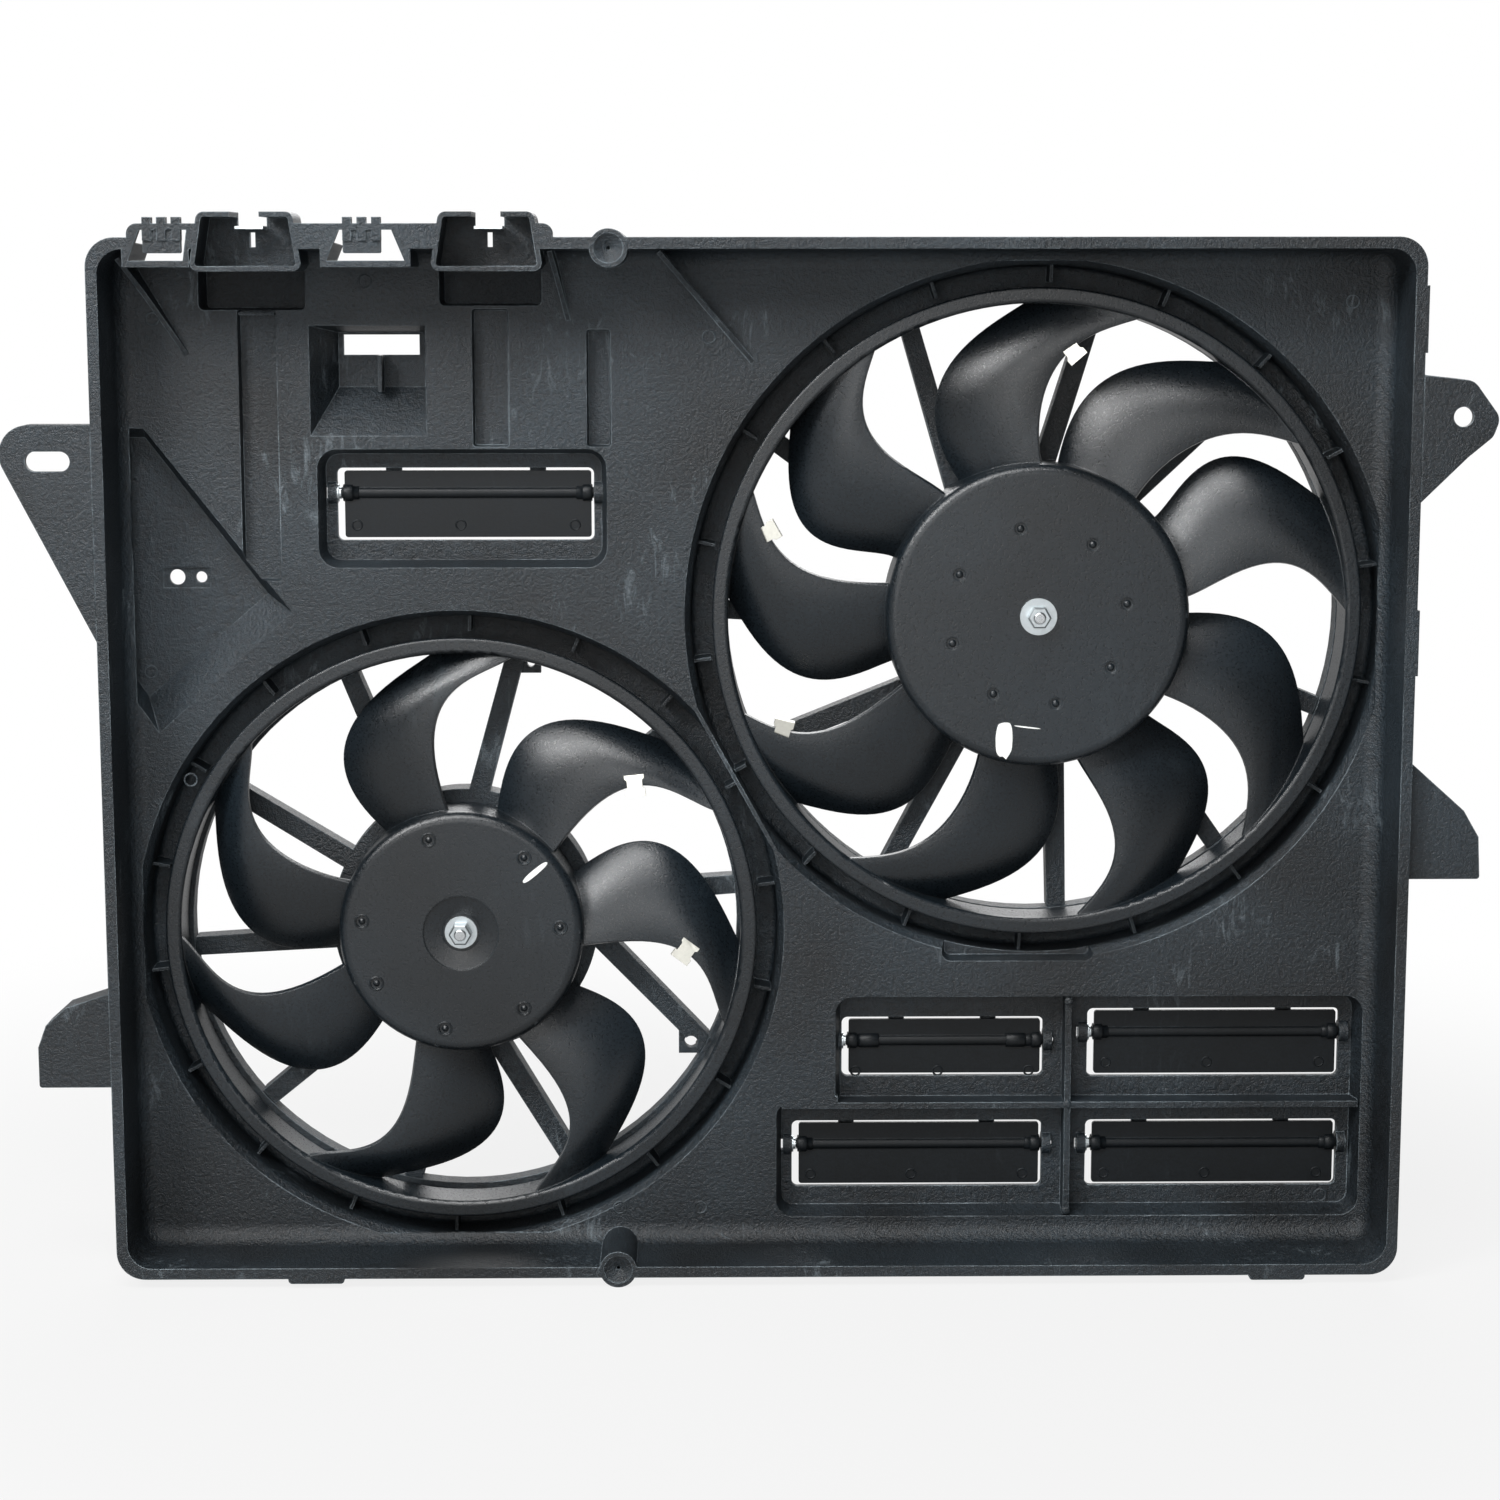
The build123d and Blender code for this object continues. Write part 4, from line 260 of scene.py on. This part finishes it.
def turned_forms(name, body, slot_name, outline, places):
    """Round forms. The outline gives radius and height in millimetres, from the middle of the
    top down to below the surface that carries them. A place is a point and the way up."""
    built = bmesh.new()
    for place, way_up in places:
        across = way_up.orthogonal().normalized()
        along = way_up.cross(across)
        rings = [
            [
                built.verts.new(place + MM * (
                    across * radius * math.cos(2 * math.pi * step / TURNED_SEGMENTS)
                    + along * radius * math.sin(2 * math.pi * step / TURNED_SEGMENTS)
                    + way_up * height))
                for step in range(TURNED_SEGMENTS)
            ]
            for radius, height in outline
        ]
        for upper, lower in zip(rings, rings[1:]):
            for step in range(TURNED_SEGMENTS):
                built.faces.new((upper[step], upper[step - 1], lower[step - 1], lower[step]))
    return place_piece(name, built, body, MATERIALS[slot_name])


PAINT_SUNK = 0.05
PAINT_THICKNESS = 0.13


def paint_mark(name, body, origin, outline):
    """Mark brushed on a hub's face. The outline is in millimetres from the fan's axis."""
    built = bmesh.new()
    corners = [built.verts.new(origin + MM * Vector((x, PAINT_SUNK, z))) for x, z in outline]
    face = built.faces.new(corners)
    raised = bmesh.ops.extrude_face_region(built, geom=[face])["geom"]
    top = [part for part in raised if isinstance(part, bmesh.types.BMVert)]
    bmesh.ops.translate(built, verts=top, vec=(0, -PAINT_THICKNESS * MM, 0))
    piece = place_piece(name, built, body, MARKING_PAINT, smooth=False)
    rounding = piece.modifiers.new("rounding", "SUBSURF")
    rounding.levels = rounding.render_levels = 2
    return piece


def on_circle(origin, radius, angle):
    """Point at an angle from +X, anticlockwise as seen from the radiator, in millimetres."""
    turn = math.radians(angle)
    return origin + MM * Vector((radius * math.cos(turn), 0, radius * math.sin(turn)))


hub_face = {}
for side in ("left", "right"):
    axis = joint_place[side + "_fan_spin"]
    hub_face[side] = Vector((axis.x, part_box(side + "_fan")[0].y, axis.z))

# Core pins leave a centre point in each blind hole of the left hub and a bump in the right's
LEFT_DIMPLES = (3.0, 50.0, 108.0, 173.0, 211.0, 260.0, 308.8)
RIGHT_DIMPLES = (8.0, 53.3, 102.0, 152.0, 197.5, 240.5, 282.0, 325.0)
LEFT_DIMPLE_CIRCLE = 50.0
RIGHT_DIMPLE_CIRCLE = 44.5
DIMPLE_FLOOR = Vector((0, 1.0 * MM, 0))
turned_forms(
    "left_hub_core_points", "left_rotor", "fan_plastic",
    ((0, 1.0), (0.5, 0.9), (0.9, 0.4), (1.6, 0.25), (1.9, -0.3), (0, -0.3)),
    [(on_circle(hub_face["left"] + DIMPLE_FLOOR, LEFT_DIMPLE_CIRCLE, angle), TO_RADIATOR)
     for angle in LEFT_DIMPLES])
turned_forms(
    "left_hub_hole_rims", "left_rotor", "fan_plastic",
    ((2.9, -0.2), (2.95, 0.15), (3.3, 0.28), (3.8, 0.15), (4.0, -0.2), (2.9, -0.2)),
    [(on_circle(hub_face["left"], LEFT_DIMPLE_CIRCLE, angle), TO_RADIATOR)
     for angle in LEFT_DIMPLES])
turned_forms(
    "right_hub_core_bumps", "right_rotor", "fan_plastic",
    ((0, 1.15), (0.8, 1.05), (1.5, 0.6), (1.9, 0), (1.9, -0.3), (0, -0.3)),
    [(on_circle(hub_face["right"] + DIMPLE_FLOOR, RIGHT_DIMPLE_CIRCLE, angle), TO_RADIATOR)
     for angle in RIGHT_DIMPLES])

# Strokes of paint that mark the balanced fans
paint_mark("left_hub_paint_stroke", "left_rotor", hub_face["left"], (
    (30.7, 27.4), (31.0, 25.2), (33.0, 24.9), (44.3, 34.6), (44.6, 36.6), (42.6, 37.2)))
paint_mark("right_hub_paint_stroke", "right_rotor", hub_face["right"], (
    (-20.0, -52.2), (-16.5, -52.9), (-12.5, -51.4), (-11.7, -59.4), (-12.0, -68.4),
    (-14.2, -70.2), (-15.2, -73.2), (-16.4, -70.2), (-18.2, -71.2), (-20.6, -69.4),
    (-21.0, -60.9)))
paint_mark("right_hub_paint_pull", "right_rotor", hub_face["right"], (
    (-12.0, -54.2), (-5.0, -55.2), (2.6, -56.0), (2.7, -56.7), (-5.0, -56.0), (-12.0, -55.0)))

# Ejector pins of the mould leave shallow rings on the floor of the tray
PIN_MARKS = (
    (-301.2, -231.6), (291.8, -231.4), (-279.6, -14.4), (-66.7, -236.5), (-25.7, -236.6),
    (-188.0, 232.0), (-20.0, 205.0), (296.0, 222.0), (-298.0, 40.0), (-292.0, 214.0),
)
turned_forms(
    "ejector_pin_marks", "housing", "shroud_plastic",
    ((2.6, -0.3), (2.7, 0.12), (3.1, 0.2), (3.5, 0.12), (3.6, -0.3), (2.6, -0.3)),
    [(Vector((x * MM, FLOOR_Y, z * MM)), TO_RADIATOR) for x, z in PIN_MARKS])

# Collars step the flaps' hinge barrels down to the pins, and each flap has its ejector marks
LEFT_COLLAR_INSET = 6.9 * MM
RIGHT_COLLAR_INSET = 4.9 * MM
CLIP_INSET = 13.0 * MM
FLAP_HALF_THICKNESS = 1.1 * MM
EJECTOR_DROP = 16.0 * MM
EJECTOR_SHARES = (0.10, 0.48, 0.90)


def on_barrel(name, left_inset, right_inset):
    """Places near both ends of a flap's hinge barrel, each facing the middle."""
    hinge = joint_place[name + "_swing"]
    low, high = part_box(name)
    return [(Vector((low.x + left_inset, hinge.y, hinge.z)), TO_RIGHT),
            (Vector((high.x - right_inset, hinge.y, hinge.z)), -TO_RIGHT)]


for name in frame["nodes"]:
    if name.startswith("flap_") and name != "flap_bushes":
        hinge = joint_place[name + "_swing"]
        low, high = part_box(name)
        turned_forms(
            name + "_pin_collars", name + "_body", "flap_plastic",
            ((0, 0), (4.1, 0), (4.3, 0.2), (4.3, 4.6), (4.1, 4.8), (3.5, 4.8), (3.5, 7.6),
             (3.2, 7.9), (0, 7.9)),
            on_barrel(name, LEFT_COLLAR_INSET, RIGHT_COLLAR_INSET))
        turned_forms(
            name + "_ejector_marks", name + "_body", "flap_plastic",
            ((1.9, -0.2), (2.0, 0.12), (2.4, 0.18), (2.8, 0.12), (2.9, -0.2), (1.9, -0.2)),
            [(Vector((low.x + share * (high.x - low.x), hinge.y - FLAP_HALF_THICKNESS,
                      hinge.z - EJECTOR_DROP)), TO_RADIATOR) for share in EJECTOR_SHARES])
turned_forms(
    "flap_upper_inner_clips", "flap_upper_inner_body", "flap_plastic",
    ((0, 0), (3.6, 0), (3.9, 0.3), (3.9, 9.7), (3.6, 10.0), (0, 10.0)),
    on_barrel("flap_upper_inner", CLIP_INSET, CLIP_INSET))

# Studs where the cells' ribs meet
RIB_OFFSET = 0.4 * MM
STUD_HEIGHTS = (-129.5, -183.0, -239.0)
rib_x = (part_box("flap_lower_inner")[1].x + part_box("flap_lower_outer")[0].x) / 2 + RIB_OFFSET
turned_forms(
    "cell_rib_studs", "housing", "shroud_plastic",
    ((0, 0.7), (1.7, 0.7), (2.1, 0.4), (2.2, -1.5), (0, -1.5)),
    [(Vector((rib_x, FLOOR_Y, z * MM)), TO_RADIATOR) for z in STUD_HEIGHTS])


# Stage, lights and camera

def build_world():
    """White for the camera, a weaker white for reflections of what stands behind the object,
    and a plain dark room for what lights it."""
    world = bpy.data.worlds.new("studio")
    bpy.context.scene.world = world
    world.use_nodes = True
    tree = world.node_tree
    tree.nodes.clear()
    path = node(tree, "ShaderNodeLightPath")
    seen = node(tree, "ShaderNodeMath", {"operation": "MAXIMUM"},
                i0=path.outputs["Is Camera Ray"], i1=path.outputs["Is Transmission Ray"])
    direction = node(tree, "ShaderNodeTexCoord")
    parts = node(tree, "ShaderNodeSeparateXYZ", Vector=direction.outputs["Generated"])
    backdrop = node(tree, "ShaderNodeMapRange", Value=parts.outputs["Y"], From_Min=-0.25,
                    From_Max=0.35, To_Min=0.10, To_Max=MIRRORED_WHITE)
    mirrored = node(tree, "ShaderNodeMath", {"operation": "MULTIPLY"},
                    i0=path.outputs["Is Glossy Ray"], i1=backdrop.outputs[0])
    seen = node(tree, "ShaderNodeMath", {"operation": "MAXIMUM"}, i0=seen.outputs[0],
                i1=mirrored.outputs[0])
    strength = node(tree, "ShaderNodeMapRange", Value=seen.outputs[0], To_Min=ROOM_LIGHT,
                    To_Max=1.0)
    background = node(tree, "ShaderNodeBackground", Color=(1, 1, 1, 1),
                      Strength=strength.outputs[0])
    out = node(tree, "ShaderNodeOutputWorld")
    tree.links.new(background.outputs[0], out.inputs[0])


def softbox(name, place, size, power):
    """Area lamp turned to the middle of the object."""
    data = bpy.data.lights.new(name, "AREA")
    data.shape = "RECTANGLE"
    data.size, data.size_y = size
    data.energy = power
    lamp = bpy.data.objects.new(name, data)
    bpy.context.scene.collection.objects.link(lamp)
    lamp.location = place
    lamp.visible_camera = False
    lamp.rotation_euler = (-Vector(place)).to_track_quat("-Z", "Y").to_euler()


def build_floor():
    """White paper that keeps a soft shadow near the object and is plain white further away.
    Reflections show it weaker, as they do the world."""
    made, tree, shader = new_material("white_paper_floor")
    shader.inputs["Base Color"].default_value = linear("#9a9a9a")
    shader.inputs["Roughness"].default_value = 0.9
    shader.inputs["Specular IOR Level"].default_value = 0.1
    place = node(tree, "ShaderNodeNewGeometry").outputs["Position"]
    away = node(tree, "ShaderNodeVectorMath", {"operation": "LENGTH"}, i0=place)
    shadow_share = node(tree, "ShaderNodeMapRange", {"interpolation_type": "SMOOTHSTEP"},
                        Value=away.outputs["Value"], From_Min=0.42, From_Max=0.95,
                        To_Min=0.16, To_Max=0.0)
    path = node(tree, "ShaderNodeLightPath")
    seen = node(tree, "ShaderNodeMath", {"operation": "MAXIMUM"},
                i0=path.outputs["Is Camera Ray"], i1=path.outputs["Is Transmission Ray"])
    mirrored = node(tree, "ShaderNodeMath", {"operation": "MULTIPLY"},
                    i0=path.outputs["Is Glossy Ray"], i1=MIRRORED_WHITE)
    seen = node(tree, "ShaderNodeMath", {"operation": "MAXIMUM"}, i0=seen.outputs[0],
                i1=mirrored.outputs[0])
    kept = node(tree, "ShaderNodeMath", {"operation": "SUBTRACT"}, i0=1.0,
                i1=shadow_share.outputs[0])
    white_share = node(tree, "ShaderNodeMath", {"operation": "MULTIPLY"}, i0=seen.outputs[0],
                       i1=kept.outputs[0])
    white = node(tree, "ShaderNodeEmission", Color=(1, 1, 1, 1), Strength=1.0)
    mixed = node(tree, "ShaderNodeMixShader", i0=white_share.outputs[0],
                 i1=shader.outputs[0], i2=white.outputs[0])
    tree.links.new(mixed.outputs[0], tree.nodes["Material Output"].inputs["Surface"])
    mesh = bpy.data.meshes.new("floor")
    built = bmesh.new()
    bmesh.ops.create_grid(built, x_segments=1, y_segments=1, size=FLOOR_HALF_WIDTH)
    built.to_mesh(mesh)
    built.free()
    floor = bpy.data.objects.new("floor", mesh)
    bpy.context.scene.collection.objects.link(floor)
    floor.location = (0, 0, bounds["loaded"][0].z)
    mesh.materials.append(made)
    floor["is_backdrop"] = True


FLOOR_HALF_WIDTH = 9.0
ROOM_LIGHT = 0.035
MIRRORED_WHITE = 0.45
build_world()
build_floor()
softbox("softbox_front", (-0.3, -2.2, 0.45), (1.3, 1.1), 17.0)
softbox("softbox_above", (-0.35, -1.15, 1.75), (1.1, 0.7), 38.0)
softbox("softbox_upper_left", (-1.15, -1.2, 1.15), (0.6, 0.5), 30.0)
softbox("softbox_back", (0.2, 1.7, 1.1), (1.6, 1.0), 30.0)

# The photo's camera: 8.8 degrees above the fans' axes, 0.65 degrees to the left
CAMERA_PLACE = (-0.0177, -1.5709, 0.2408)
CAMERA_LENS = 75.6
elevation, turn, roll = math.radians(8.79), math.radians(0.65), math.radians(-0.04)
forward = Vector((math.sin(turn) * math.cos(elevation), math.cos(turn) * math.cos(elevation),
                  -math.sin(elevation)))
right = forward.cross(Vector((0, 0, 1))).normalized()
up = right.cross(forward)
right, up = (right * math.cos(roll) + up * math.sin(roll),
             up * math.cos(roll) - right * math.sin(roll))
camera_data = bpy.data.cameras.new("camera")
camera_data.lens = CAMERA_LENS
camera_data.sensor_width = 36.0
camera = bpy.data.objects.new("camera", camera_data)
bpy.context.scene.collection.objects.link(camera)
camera.matrix_world = Matrix.Translation(CAMERA_PLACE) @ Matrix(
    (right, up, -forward)).transposed().to_4x4()
bpy.context.scene.camera = camera
bpy.context.scene.view_settings.view_transform = "Standard"

bounds["finished"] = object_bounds()
